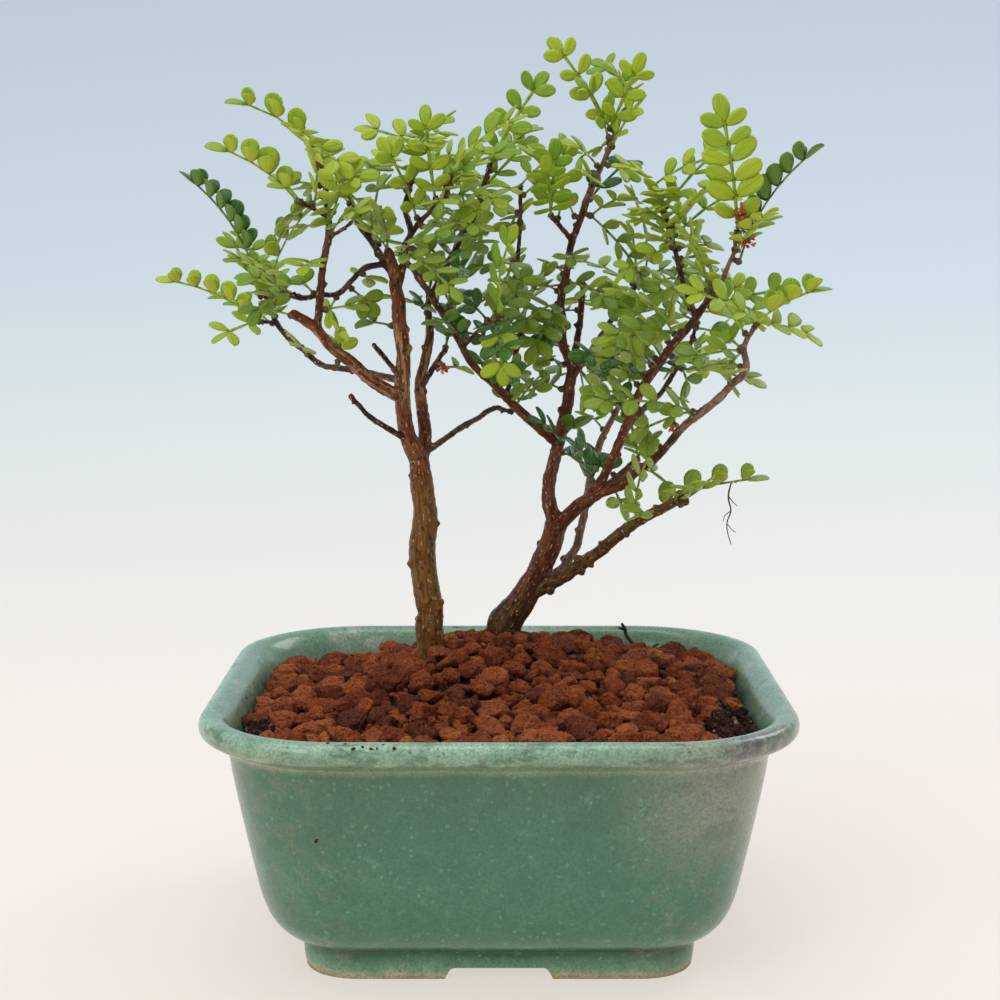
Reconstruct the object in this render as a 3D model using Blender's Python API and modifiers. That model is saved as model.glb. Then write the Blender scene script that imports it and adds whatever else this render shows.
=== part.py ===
# Chinese pepper bonsai with its pot: a glazed rectangular pot on four feet, a bed of fired clay grains,
# two stems with their branches, and pinnate leaves in sprays at the ends of the twigs.
# Every size is in millimetres. The finished meshes are brought to metres in the last section.
# The front of the pot faces -Y. Its middle stands on x = 0, y = 0 until the last section centres the whole.

import math
import random

import bpy
import bmesh
from mathutils import Matrix, Vector
from mathutils.kdtree import KDTree

# Driving sizes of the pot
RIM_HALF_X = 63.4
RIM_HALF_Y = 59.9
RIM_CORNER = 30.0
CORNER_TAPER = 0.85
POT_WALL_CLEARANCE = 0.35
FOOT_RECESS = 24.0
FOOT_RECESS_HEIGHT = 2.6
DRAIN_HOLE_RADIUS = 6.0

# Driving sizes of the soil
SOIL_EDGE_Z = 50.3
SOIL_MOUND = 12.0
SOIL_PEAK = (-3.0, 25.0)
SOIL_SPREAD = 24.8
GRAIN_PITCH = 5.1
GRAIN_SHIFT = 0.9
LUMPS = 11
LUMP_REACH = (46.0, 45.0)
LUMP_SPACING = 7.5
LUMP_TO_STEM = 10.5
BURIED_DEPTH = 0.4
STEM_HOLE_CLEARANCE = 0.35
NET_CLEARANCE = 0.35

# Driving sizes of the foliage
BLADE = 0.6
SEAT = 0.35
BUD_RADIUS = 0.85
PAIR_PITCH = 7.4
PETIOLE = 3.0
LEAF_GAP = 2.6
STEM_GAP = 1.7

MM = 0.001
SEED = 11

# Half width and height of the pot's section, from the middle of its underside, round the foot,
# up the outside, over the lip, and down the inside to the floor.
POT_SECTION = [
    (33.0, 3.0), (33.6, 0.0), (40.9, 0.0), (41.8, 0.7), (42.2, 3.0), (42.3, 5.4), (42.9, 6.6),
    (44.4, 7.4), (46.9, 9.2), (49.3, 12.3), (51.1, 17.0), (52.7, 24.0), (54.3, 31.5), (55.7, 38.5),
    (56.8, 44.5), (57.8, 49.6), (60.5, 51.0), (62.8, 52.4), (63.4, 54.2), (62.8, 56.0), (61.1, 56.6),
    (59.2, 56.2), (57.7, 54.8), (56.1, 51.5), (53.9, 42.0), (51.4, 30.0), (48.8, 19.0), (45.6, 12.5),
    (41.0, 9.0), (34.0, 8.0),
]
FLOOR_Z = 8.0
LIP_INNER_STATION = 22

# The stems. Each is a route of (x, y, z, radius), with its first point sunk in what it grows from.
LEFT_STEMS = {
    "trunk": [
        (-16, 12, 47, 3.3), (-16, 12, 62.5, 3.3), (-16.3, 11.4, 66, 3.3), (-16.4, 11, 72, 3.2),
        (-17.6, 11, 80.5, 3.1), (-17, 10, 90.5, 3.0), (-17.7, 9, 99, 2.8), (-18.3, 8, 105, 2.3),
        (-21, 8, 111.5, 1.9), (-21.8, 7, 118, 1.8), (-21.7, 6, 126, 1.8), (-21.9, 6, 133, 1.7),
        (-22.6, 5, 142, 1.6), (-23.2, 4.6, 147, 1.4), (-24.5, 3, 152, 1.1),
    ],
    "leader": [
        (-22.9, 5, 144, 1.0), (-21.7, 5, 148, 0.9), (-20.9, 4, 153.7, 0.9), (-19.6, 4, 156.5, 0.8),
        (-21, 6, 161.8, 0.7), (-19.7, 7, 167.4, 0.6), (-18.5, 9, 175, 0.5),
    ],
    "leader_fork": [
        (-19.7, 4.2, 156.2, 0.7), (-17.1, 3, 159.4, 0.7), (-12.4, 1, 164, 0.6), (-11, -1, 168, 0.5),
    ],
    "back_stem": [
        (-17.9, 8.8, 101, 1.8), (-17.1, 14, 110.6, 1.6), (-18.4, 18, 122, 1.3), (-16.1, 20, 133.6, 1.1),
        (-16.6, 22, 140, 0.9), (-11.5, 24, 150.5, 0.8), (-5.6, 22, 160.7, 0.7), (-2.3, 20, 171.5, 0.6),
    ],
    "back_stem_side": [
        (-18.3, 17.6, 120.5, 0.8), (-14, 14, 127.7, 0.7), (-12.4, 12, 130, 0.6),
    ],
    "left_arm": [
        (-21.8, 6.8, 119.5, 1.6), (-28.7, 2, 124, 1.5), (-37.2, -4, 132, 1.3), (-40.4, -7, 136.2, 1.2),
        (-44.2, -10, 139, 1.1),
    ],
    "left_riser": [
        (-39.7, -6.6, 135.8, 1.0), (-39.1, -6, 142.5, 1.0), (-37.7, -5, 153.3, 0.9), (-37.1, -4, 156, 0.9),
        (-38.2, 0, 167, 0.7), (-41.3, 3, 175, 0.6),
    ],
    "left_riser_twig": [
        (-37.7, -2.2, 160, 0.6), (-41, -6, 162, 0.5), (-42.8, -9, 163, 0.45),
    ],
    "left_riser_spur": [
        (-37.9, -5, 151.5, 0.5), (-39.6, -9, 150.3, 0.45),
    ],
    "left_riser_back": [
        (-37.4, -4, 155, 0.6), (-35, 0, 157, 0.5), (-32.7, 4, 159, 0.45),
    ],
    "upper_left": [
        (-23, 4.8, 145, 1.0), (-25.7, 8, 150, 0.9), (-32.5, 14, 159.5, 0.7), (-34.1, 17, 164.7, 0.5),
    ],
    "drooping_left": [
        (-25.4, 7.6, 149.6, 0.8), (-30, 8, 148.8, 0.8), (-35.9, 6.5, 143.2, 0.7), (-43.8, 0, 142.3, 0.7),
        (-46.7, -2, 143.2, 0.6),
    ],
    "far_left": [
        (-21.8, 6.4, 123.5, 1.0), (-32.3, 19, 124.8, 0.8), (-42.3, 26, 126, 0.8), (-49.8, 29, 131.7, 0.7),
        (-53, 30, 135.7, 0.7), (-56, 32, 142.5, 0.6), (-57.7, 33, 146.5, 0.5),
    ],
    "far_left_tip": [
        (-52.8, 30, 135.5, 0.6), (-55.8, 28, 135.8, 0.5),
    ],
    "bare_left": [
        (-20.2, 8, 109.4, 0.8), (-29, 2, 115.7, 0.7), (-32.7, -4, 120.7, 0.6),
    ],
    "left_stub": [
        (-21.8, 6.2, 123.5, 0.8), (-27.8, 1, 131.8, 0.6),
    ],
    "low_right_twig": [
        (-17.2, 10, 106.5, 0.9), (-8.7, 22, 111.5, 0.8), (-1, 30, 115.2, 0.7), (2.4, 33, 114.2, 0.6),
    ],
}
RIGHT_STEMS = {
    "trunk": [
        (1.2, 27, 47, 4.3), (1.2, 27, 63, 4.3), (2.6, 26.4, 65.5, 3.9), (5.2, 25, 69, 3.4),
        (9.2, 23, 76.2, 2.9), (12.3, 21, 84, 2.8), (13.3, 20.2, 88.3, 2.5),
    ],
    "leader": [
        (13.2, 20.2, 87.8, 2.0), (11.8, 20, 93.5, 1.9), (11.9, 20.4, 99.5, 1.7), (13.4, 21, 105.5, 1.6),
        (16.2, 22, 117.6, 1.5), (17.3, 22, 124.9, 1.4),
    ],
    "leader_high": [
        (17.2, 22, 124.4, 1.2), (14.6, 19, 131.8, 1.2), (14.2, 16, 141.3, 1.0), (16.6, 13, 154.8, 0.9),
        (19.9, 12, 164.2, 0.9), (24, 14, 173.2, 0.7), (27.9, 16, 183.5, 0.6), (31.8, 18, 188, 0.5),
    ],
    "leader_twig": [
        (16.4, 13.1, 155, 0.7), (12.1, 8, 159.9, 0.6),
    ],
    "back_riser": [
        (17.3, 22, 124.2, 1.1), (18.5, 25, 132.6, 0.9), (19.3, 27, 138.4, 0.9), (19.8, 29, 143.8, 0.7),
    ],
    "back_right": [
        (17.3, 22, 123.8, 1.1), (24, 31, 131.9, 0.8), (29.4, 38, 139.5, 0.7), (35, 43, 146.3, 0.6),
    ],
    "cross_arm": [
        (13.9, 21.2, 107.4, 1.3), (4.6, 15, 116.1, 1.2), (-6.4, 7, 127.7, 0.9), (-10.7, 3, 136.2, 0.9),
        (-15.7, -2, 143.9, 0.8), (-18.8, -4, 148.5, 0.7), (-20.7, -5, 151.1, 0.5),
    ],
    "cross_riser": [
        (1.3, 12.6, 119.2, 0.7), (3.2, 17, 124.7, 0.7), (4.9, 24, 132.7, 0.7), (3.9, 22, 145.8, 0.6),
        (4.8, 18, 157.3, 0.6), (4.8, 16, 166.3, 0.5),
    ],
    "cross_twig": [
        (-8.2, 5.4, 131, 0.6), (-4, 0, 135.7, 0.5), (0, -6, 138.1, 0.45),
    ],
    "right_arm": [
        (13.3, 20.2, 87.8, 2.1), (19.1, 16, 94, 1.8), (22, 13, 96.8, 1.7),
    ],
    "right_leader": [
        (21.8, 13.1, 96.6, 1.4), (25.1, 9, 103.8, 1.2), (27.4, 6, 109.8, 1.2), (31.8, 2, 121.7, 1.1),
        (38.2, -2, 131.8, 1.0), (43.3, -5, 138.5, 0.9), (46.1, -7, 143.6, 0.8), (48.3, -8, 146.4, 0.7),
        (50.7, -8, 151.9, 0.6), (51.3, -8, 155.8, 0.5),
    ],
    "right_mass": [
        (43.1, -4.9, 138.3, 0.8), (40.3, 4, 148.4, 0.7), (37.9, 8, 158.3, 0.6), (35.1, 10, 166.1, 0.5),
    ],
    "right_back": [
        (28.6, 5, 112.6, 0.9), (32.5, 11, 116, 0.8), (38, 20, 119.9, 0.7), (44.7, 28, 128.9, 0.6),
        (46.9, 31, 134.7, 0.5),
    ],
    "cut_stub": [
        (22.2, 12.9, 96.8, 1.1), (27, 17, 99.5, 1.0), (32.2, 22, 103.4, 0.9),
    ],
    "low_arm": [
        (21.8, 13.1, 96.4, 1.5), (28, 10, 99.3, 1.3), (34.5, 3, 105.6, 1.1), (40.5, -4, 113.8, 1.0),
        (47.1, -11, 120.4, 1.0), (52.7, -17, 127.7, 0.9), (52.1, -18, 132.5, 0.7), (53.9, -20, 136.6, 0.6),
    ],
    "lowest": [
        (6.5, 24.4, 71, 1.9), (11.6, 21.2, 74.2, 1.8), (15.5, 18.5, 76.6, 1.7), (23.3, 11, 83.7, 1.5),
        (31, 1, 92, 1.3), (37.1, -6.5, 96.6, 1.15), (39.6, -9, 98.6, 1.0),
    ],
    "grey_stem": [
        (10.6, 22.8, 75, 1.4), (15.5, 26, 77.2, 1.3), (18.4, 28.6, 81.5, 1.1), (20.6, 32, 89.5, 1.0),
        (22.3, 35, 99.5, 1.0), (25.2, 38, 107.5, 0.9), (30.5, 41, 117, 0.7),
    ],
}

# The sprays: the point of the stem that each grows at, its tone, and where the tips of its leaves hang.
SPRAYS = [
    ("right_upright", (51.3, -8, 156), "young", [(46.5, -11, 186)]),
    ("far_right_dark", (50.5, -8, 151), "dark", [(72, -8, 177)]),
    ("top", (26.3, 15, 179.3), "young", [(11, 12, 199.9), (31.5, 6, 197.8)]),
    ("right_tip", (54, -20, 137), "young", [(70.5, -18, 145), (69.3, -14, 132.7), (37, -23, 145)]),
    ("low_right", (29.6, 3, 91.5), "mature", [(60.7, 0, 101.9), (35, -4, 114)]),
    ("left_top", (-41, 3, 175), "young", [(-59.3, -4, 185), (-32, -4, 168.5), (-41, 19, 176)]),
    ("left_upper", (-43, -9, 163), "young", [(-62, -16, 175)]),
    ("far_left_low", (-56, 28, 136), "young", [(-80, 22, 146), (-66, 14, 132)]),
    ("far_left_inner", (-56, 32, 142), "mature", [(-42.5, 24, 163.5)]),
    ("far_left_high", (-58, 33, 147), "dark", [(-75.9, 36, 172.4)]),
    ("centre_tip", (-2, 20, 172), "young", [(11, 18, 192.8), (-17, 39, 174)]),
    ("leader_twig_tip", (12, 8, 160), "young", [(12.5, 2, 177.2), (9, -11, 173)]),
    ("right_mass_tip", (35, 10, 166), "young", [(24.9, 2, 171.4), (51, 3, 173.6), (40, 26, 155)]),
    ("fork_dark", (22, 12, 99), "dark", [(16, 5, 111), (30, 17, 107)]),
    ("leader_high", (19.8, 12, 165), "dark", [(29.2, 22, 178.3)]),
    ("centre_left_tip", (-19, 9, 175), "young", [(-33, 11, 179), (-10, -2, 181), (-12, 24, 179)]),
    ("centre_left_fan", (-11, -1, 168), "young", [(6, -16, 181), (5, -4, 174)]),
    ("left_riser", (-37, -4, 156), "mature", [(-34, -21, 165), (-27, -18, 162)]),
    ("left_riser_back", (-38, 0, 167), "mature", [(-25, 15, 171), (-44, 16, 165)]),
    ("upper_left_tip", (-34, 17, 165), "young", [(-30, 33, 154), (-24, 30, 175)]),
    ("left_down_tip", (-47, -2, 143), "mature", [(-57, -24, 151), (-53, -17, 137)]),
    ("left_spur", (-40, -9, 150), "young", [(-41, -24, 146)]),
    ("trunk_stub", (-24, 3, 152), "mature", [(-32, -4, 158), (-29, -9, 163)]),
    ("trunk_leader", (-21, 4, 154), "mature", [(-10, 13, 137)]),
    ("centre_mid", (-9, 23, 155), "mature", [(-18, 32, 165), (-3, 5, 152)]),
    ("centre_riser_tip", (5, 16, 166), "young", [(18, 29, 176), (-8, 2, 158)]),
    ("centre_riser_mid", (4, 20, 150), "mature", [(-8, 26, 147), (1, -2, 144)]),
    ("centre_low", (4, 22, 131), "dark", [(-13, 19, 134), (15, 40, 130)]),
    ("centre_lime", (0, -6, 138), "young", [(4, -22, 158), (1, -7, 123)]),
    ("cross_upper", (-12, 1, 140), "dark", [(-6, -6, 152)]),
    ("cross_tip", (-21, -5, 151), "mature", [(-10, -22, 156), (-8, -24, 143)]),
    ("cross_small", (-1, 11, 121), "mature", [(13, 12, 129), (-1, 0, 133)]),
    ("leader_knob", (14, 16, 141), "mature", [(3, 0, 134), (7, 3, 126)]),
    ("leader_right", (19, 12, 161), "mature", [(29, 2, 167), (34, 18, 143)]),
    ("back_riser_tip", (20, 29, 144), "mature", [(35, 25, 131), (-2, 39, 138)]),
    ("back_right_tip", (35, 43, 146), "mature", [(30, 30, 168), (57, 47, 145)]),
    ("right_mass_mid", (39, 6, 153), "young", [(44, -11, 164), (25, 2, 145)]),
    ("right_low_side", (33, 1, 124), "dark", [(15, -9, 130), (46, 21, 127)]),
    ("right_side", (40, -3, 134), "mature", [(22, -21, 145), (21, -15, 133)]),
    ("right_end", (46, -7, 144), "mature", [(37, -27, 157)]),
    ("right_back_tip", (47, 31, 135), "mature", [(28, 28, 148), (31, 46, 138)]),
    ("right_knee", (53, -17, 128), "mature", [(46, -2, 126)]),
    ("right_under", (44, -8, 117), "mature", [(18, -16, 120), (29, -4, 111)]),
    ("leader_dark", (14, 21, 108), "dark", [(7, 8, 115), (24, 26, 112)]),
    ("grey_tip", (31, 41, 117), "mature", [(36, 51, 135), (23, 52, 123)]),
    ("stub_tip", (32, 22, 103), "mature", [(36, 43, 103), (30, 31, 115)]),
    ("back_low_tip", (2, 33, 114), "mature", [(14, 48, 124), (0, 38, 132)]),
]

# Sprays whose leaves turn their upper side to the front
FACING_FRONT = {
    "right_upright": (0.1, -1.0, 0.3),
    "top": (0.0, -0.9, 0.5),
    "low_right": (0.0, -0.9, 0.5),
    "centre_tip": (0.0, -0.9, 0.4),
    "leader_twig_tip": (0.0, -0.9, 0.4),
    "far_left_high": (-0.3, -0.9, 0.4),
}

# Sprays whose first leaf is folded up along its rib, and the way the hollow of the fold faces
FOLDED = {
    "far_right_dark": (-0.8, -0.3, 0.6),
    "low_right": (-0.1, -0.25, 1.0),
    "far_left_high": (0.75, -0.35, 0.6),
    "far_left_inner": (-0.7, -0.3, 0.6),
    "left_top": (0.3, -0.3, 0.9),
    "left_upper": (0.45, -0.3, 0.85),
    "far_left_low": (0.3, -0.3, 0.95),
    "right_tip": (-0.3, -0.35, 0.9),
}

# How far each unit across a leaf reaches sideways and up
FLAT_LEAF = (1.0, 0.22)
FOLDED_LEAF = (0.5, 0.85)

# Sprays whose leaves carry their first leaflets further out than the rest
LONG_PETIOLES = {"far_right_dark": 11.0, "low_right": 7.0, "far_left_high": 5.0}

# Half the width of a leaf over its leaflets, and the sprays where it is broader
LEAF_HALF_WIDTH = 5.1
BROAD_LEAVES = {"right_upright": 6.1}

# Clusters of red flower buds beside the twigs
BUD_CLUSTERS = [
    ("buds_right", (51.2, -8, 155), (0.9, -0.5, 0.4)),
    ("buds_left_centre", (-14, 14, 127.7), (0.7, -0.7, 0.2)),
    ("buds_low_right", (40.5, -4, 113.8), (-0.6, -0.6, 0.8)),
    ("buds_fork", (-12.4, 1, 164), (0.3, -1.0, 0.2)),
    ("buds_far_left", (-54.5, 31, 139), (0.8, -0.6, 0.0)),
]

MATERIALS = {
    "glaze": ((0.24, 0.42, 0.32), 0.32, 0.0),
    "clay_grains": ((0.19, 0.08, 0.045), 0.95, 0.0),
    "bark_olive": ((0.17, 0.12, 0.05), 0.85, 0.0),
    "bark_red": ((0.16, 0.09, 0.045), 0.8, 0.0),
    "plastic_mesh": ((0.03, 0.03, 0.03), 0.5, 0.0),
    "leaf_young": ((0.42, 0.58, 0.08), 0.5, 0.0),
    "leaf_mature": ((0.18, 0.36, 0.06), 0.45, 0.0),
    "leaf_dark": ((0.06, 0.2, 0.05), 0.35, 0.0),
    "red_buds": ((0.6, 0.12, 0.07), 0.5, 0.0),
}


# Shared tools

def clear_scene():
    for old in list(bpy.data.objects):
        bpy.data.objects.remove(old, do_unlink=True)


def collection(name):
    made = bpy.data.collections.new(name)
    bpy.context.scene.collection.children.link(made)
    return made


def material(name):
    made = bpy.data.materials.get(name)
    if made is None:
        colour, roughness, metallic = MATERIALS[name]
        made = bpy.data.materials.new(name)
        made.use_nodes = True
        shader = made.node_tree.nodes["Principled BSDF"]
        shader.inputs["Base Color"].default_value = (*colour, 1.0)
        shader.inputs["Roughness"].default_value = roughness
        shader.inputs["Metallic"].default_value = metallic
    return made


def dress(made, name):
    """Gives every face of an object the one material."""
    made.data.materials.clear()
    made.data.materials.append(material(name))
    made.data.polygons.foreach_set("material_index", [0] * len(made.data.polygons))


def place(name, mesh, group):
    made = bpy.data.objects.new(name, mesh)
    group.objects.link(made)
    return made


def mesh_of(name, fill):
    """A mesh that the function fill draws in an empty bmesh."""
    made = bpy.data.meshes.new(name)
    bm = bmesh.new()
    fill(bm)
    bm.to_mesh(made)
    bm.free()
    return made


def bake(made):
    """Applies an object's modifiers to its mesh."""
    bpy.context.view_layer.update()
    seen = made.evaluated_get(bpy.context.evaluated_depsgraph_get())
    mesh = bpy.data.meshes.new_from_object(seen)
    old = made.data
    made.modifiers.clear()
    made.data = mesh
    if isinstance(old, bpy.types.Mesh):
        bpy.data.meshes.remove(old)
    return made


def largest_body(mesh):
    """Keeps the largest body of a mesh, so that scraps go and sealed hollows are filled."""
    bm = bmesh.new()
    bm.from_mesh(mesh)
    bmesh.ops.remove_doubles(bm, verts=bm.verts, dist=0.002)
    bmesh.ops.dissolve_degenerate(bm, edges=bm.edges, dist=0.002)
    bmesh.ops.triangulate(bm, faces=bm.faces)
    left = set(bm.verts)
    bodies = []
    while left:
        start = left.pop()
        body = {start}
        to_visit = [start]
        while to_visit:
            vert = to_visit.pop()
            for edge in vert.link_edges:
                other = edge.other_vert(vert)
                if other not in body:
                    body.add(other)
                    to_visit.append(other)
        left -= body
        bodies.append(body)
    bodies.sort(key=len)
    scraps = [v for body in bodies[:-1] for v in body]
    bmesh.ops.delete(bm, geom=scraps, context="VERTS")
    bm.to_mesh(mesh)
    bm.free()


def fuse(first, others, solver="MANIFOLD"):
    """Joins the pieces in others to first with one Boolean union on a collection."""
    if not others:
        return first
    joined = collection("joined")
    for piece in others:
        for group in list(piece.users_collection):
            group.objects.unlink(piece)
        joined.objects.link(piece)
    union = first.modifiers.new("union", "BOOLEAN")
    union.operation = "UNION"
    union.operand_type = "COLLECTION"
    union.collection = joined
    union.solver = solver
    bake(first)
    for piece in list(joined.objects):
        bpy.data.objects.remove(piece, do_unlink=True)
    bpy.data.collections.remove(joined)
    largest_body(first.data)
    return first


def cut(made, cutter, operation="DIFFERENCE", solver="MANIFOLD"):
    """Cuts an object with a cutter, which is then removed."""
    cutter.hide_render = True
    cutter.display_type = "WIRE"
    knife = made.modifiers.new("cut", "BOOLEAN")
    knife.operation = operation
    knife.object = cutter
    knife.solver = solver
    bake(made)
    bpy.data.objects.remove(cutter, do_unlink=True)
    return made


# Pot

def ring(half_x, height, shrink=0.0, steps=4):
    """Points of the pot's rounded rectangle whose half width is half_x, at one height."""
    half_y = half_x - (RIM_HALF_X - RIM_HALF_Y)
    radius = RIM_CORNER - (RIM_HALF_X - half_x) * CORNER_TAPER
    points = []
    for corner in range(4):
        sx = (1, -1, -1, 1)[corner]
        sy = (1, 1, -1, -1)[corner]
        for step in range(steps + 1):
            turn = math.radians(90 * (corner + step / steps))
            points.append(Vector((
                sx * (half_x - radius) + (radius - shrink) * math.cos(turn),
                sy * (half_y - radius) + (radius - shrink) * math.sin(turn),
                height,
            )))
    return points


def loft(bm, rings):
    """Skins a stack of rings and closes both ends."""
    rows = [[bm.verts.new(point) for point in points] for points in rings]
    count = len(rows[0])
    for low, high in zip(rows, rows[1:]):
        for i in range(count):
            j = (i + 1) % count
            bm.faces.new((low[i], low[j], high[j], high[i]))
    bm.faces.new(list(reversed(rows[0])))
    bm.faces.new(rows[-1])
    bmesh.ops.recalc_face_normals(bm, faces=bm.faces)


def make_pot(parts, cutters):
    rings = [ring(half, height) for half, height in POT_SECTION]
    pot = place("pot", mesh_of("pot", lambda bm: loft(bm, rings)), parts)

    def recess(size_x, size_y):
        def fill(bm):
            bmesh.ops.create_cube(bm, size=1.0)
            bmesh.ops.scale(bm, vec=(size_x, size_y, 2 * FOOT_RECESS_HEIGHT), verts=bm.verts)
        return place("recess", mesh_of("recess", fill), cutters)

    def hole(bm):
        bmesh.ops.create_cone(bm, cap_ends=True, segments=16, radius1=DRAIN_HOLE_RADIUS,
                              radius2=DRAIN_HOLE_RADIUS, depth=4 * FLOOR_Z)

    cut(pot, recess(FOOT_RECESS, 3 * RIM_HALF_Y))
    cut(pot, recess(3 * RIM_HALF_X, FOOT_RECESS))
    cut(pot, place("drain", mesh_of("drain", hole), cutters))
    largest_body(pot.data)
    dress(pot, "glaze")
    pot.data.shade_smooth()
    pot.data.set_sharp_from_angle(angle=math.radians(40))
    return pot


# Drain mesh, a square of coarse plastic net over the drain hole

NET_HALF = 10.0
NET_CELLS = 5
NET_THICKNESS = 1.0


def make_drain_mesh(parts):
    def net(bm):
        size = NET_HALF
        bmesh.ops.create_grid(bm, x_segments=NET_CELLS, y_segments=NET_CELLS, size=size)
        cell = 2 * size / NET_CELLS
        openings = []
        for face in bm.faces:
            middle = face.calc_center_median()
            column = int((middle.x + size) // cell)
            row = int((middle.y + size) // cell)
            if column % 2 == 1 and row % 2 == 1:
                openings.append(face)
        bmesh.ops.delete(bm, geom=openings, context="FACES")
        bmesh.ops.translate(bm, vec=(0, 0, FLOOR_Z + NET_CLEARANCE), verts=bm.verts)

    plate = place("drain_mesh", mesh_of("drain_mesh", net), parts)
    wall = plate.modifiers.new("wall", "SOLIDIFY")
    wall.thickness = NET_THICKNESS
    wall.offset = 1.0
    bake(plate)
    dress(plate, "plastic_mesh")
    return plate


# Soil

def soil_height(x, y):
    away = (x - SOIL_PEAK[0]) ** 2 + (y - SOIL_PEAK[1]) ** 2
    return SOIL_EDGE_Z + SOIL_MOUND * math.exp(-away / (2 * SOIL_SPREAD ** 2))


def grain(bm, centre, size, draw):
    """One angular lump of fired clay."""
    made = bmesh.ops.create_icosphere(bm, subdivisions=1, radius=size)
    turn = Matrix.Rotation(draw.uniform(0, 6.28), 3, (draw.uniform(-1, 1), draw.uniform(-1, 1), 0.4))
    stretch = Vector((draw.uniform(0.85, 1.25), draw.uniform(0.8, 1.1), draw.uniform(0.7, 0.95)))
    for vert in made["verts"]:
        point = turn @ Vector(a * b for a, b in zip(vert.co, stretch))
        vert.co = Vector(centre) + point * draw.uniform(0.88, 1.12)


def make_soil(parts, cutters):
    draw = random.Random(SEED)
    columns = int(2 * RIM_HALF_X / GRAIN_PITCH)
    rows = int(2 * RIM_HALF_Y / GRAIN_PITCH)

    def bed(bm):
        """A slab whose top is a field of grains, each a raised point among lower ones."""
        top = []
        for i in range(columns + 1):
            for j in range(rows + 1):
                x = (i - columns / 2) * GRAIN_PITCH + draw.uniform(-GRAIN_SHIFT, GRAIN_SHIFT)
                y = (j - rows / 2) * GRAIN_PITCH + draw.uniform(-GRAIN_SHIFT, GRAIN_SHIFT)
                grain_top = (i + j) % 2 == 0
                rise = draw.uniform(0.3, 1.7) if grain_top else draw.uniform(-1.3, -0.3)
                top.append(bm.verts.new((x, y, soil_height(x, y) + rise)))
        base = [bm.verts.new((v.co.x, v.co.y, 0.0)) for v in top]
        step = rows + 1
        for i in range(columns):
            for j in range(rows):
                a, b, c, d = i * step + j, (i + 1) * step + j, (i + 1) * step + j + 1, i * step + j + 1
                bm.faces.new((top[a], top[b], top[c], top[d]))
                bm.faces.new((base[d], base[c], base[b], base[a]))
        rim = [i * step for i in range(columns + 1)]
        rim += [columns * step + j for j in range(1, rows + 1)]
        rim += [i * step + rows for i in range(columns - 1, -1, -1)]
        rim += [j for j in range(rows - 1, 0, -1)]
        for k, a in enumerate(rim):
            b = rim[(k + 1) % len(rim)]
            bm.faces.new((base[a], base[b], top[b], top[a]))
        bmesh.ops.triangulate(bm, faces=bm.faces)
        bmesh.ops.recalc_face_normals(bm, faces=bm.faces)

    soil = place("soil", mesh_of("soil", bed), parts)
    lumps = []
    while len(lumps) < LUMPS:
        x = draw.uniform(-LUMP_REACH[0], LUMP_REACH[0])
        y = draw.uniform(-LUMP_REACH[1], LUMP_REACH[1])
        size = draw.uniform(2.1, 3.2)
        near_left = math.hypot(x - LEFT_STEMS["trunk"][0][0], y - LEFT_STEMS["trunk"][0][1])
        near_right = math.hypot(x - RIGHT_STEMS["trunk"][0][0], y - RIGHT_STEMS["trunk"][0][1])
        if min(near_left, near_right) < LUMP_TO_STEM:
            continue
        if any(math.hypot(x - other[0], y - other[1]) < LUMP_SPACING for other, _ in lumps):
            continue
        lumps.append(((x, y, soil_height(x, y) + 0.25 * size), size))
    grains = [
        place("grain", mesh_of("grain", lambda bm: grain(bm, centre, size, draw)), cutters)
        for centre, size in lumps
    ]
    fuse(soil, grains)

    inside = list(reversed(POT_SECTION[LIP_INNER_STATION:]))
    cavity = [(half, height + POT_WALL_CLEARANCE) for half, height in inside]
    cavity.append((POT_SECTION[LIP_INNER_STATION][0], 2 * SOIL_EDGE_Z))
    walls = [ring(half, height, shrink=POT_WALL_CLEARANCE) for half, height in cavity]
    cut(soil, place("cavity", mesh_of("cavity", lambda bm: loft(bm, walls)), cutters), "INTERSECT")

    def stem_hole(foot, radius, sides=16):
        def fill(bm):
            depth = SOIL_EDGE_Z
            reach = (radius + STEM_HOLE_CLEARANCE) / math.cos(math.pi / sides)
            middle = Vector((foot[0], foot[1], foot[2] - BURIED_DEPTH + depth / 2))
            bmesh.ops.create_cone(bm, cap_ends=True, segments=sides, radius1=reach, radius2=reach,
                                  depth=depth, matrix=Matrix.Translation(middle))
        return place("stem_hole", mesh_of("stem_hole", fill), cutters)

    for stems in (LEFT_STEMS, RIGHT_STEMS):
        foot = stems["trunk"][0]
        cut(soil, stem_hole(foot, foot[3]))

    def net_pocket(bm):
        side = 2 * (NET_HALF + NET_CLEARANCE)
        high = NET_THICKNESS + 2 * NET_CLEARANCE
        bmesh.ops.create_cube(bm, size=1.0)
        bmesh.ops.scale(bm, vec=(side, side, 2 * high), verts=bm.verts)
        bmesh.ops.translate(bm, vec=(0, 0, FLOOR_Z), verts=bm.verts)

    cut(soil, place("net_pocket", mesh_of("net_pocket", net_pocket), cutters))
    largest_body(soil.data)
    dress(soil, "clay_grains")
    return soil


# Stems

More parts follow.
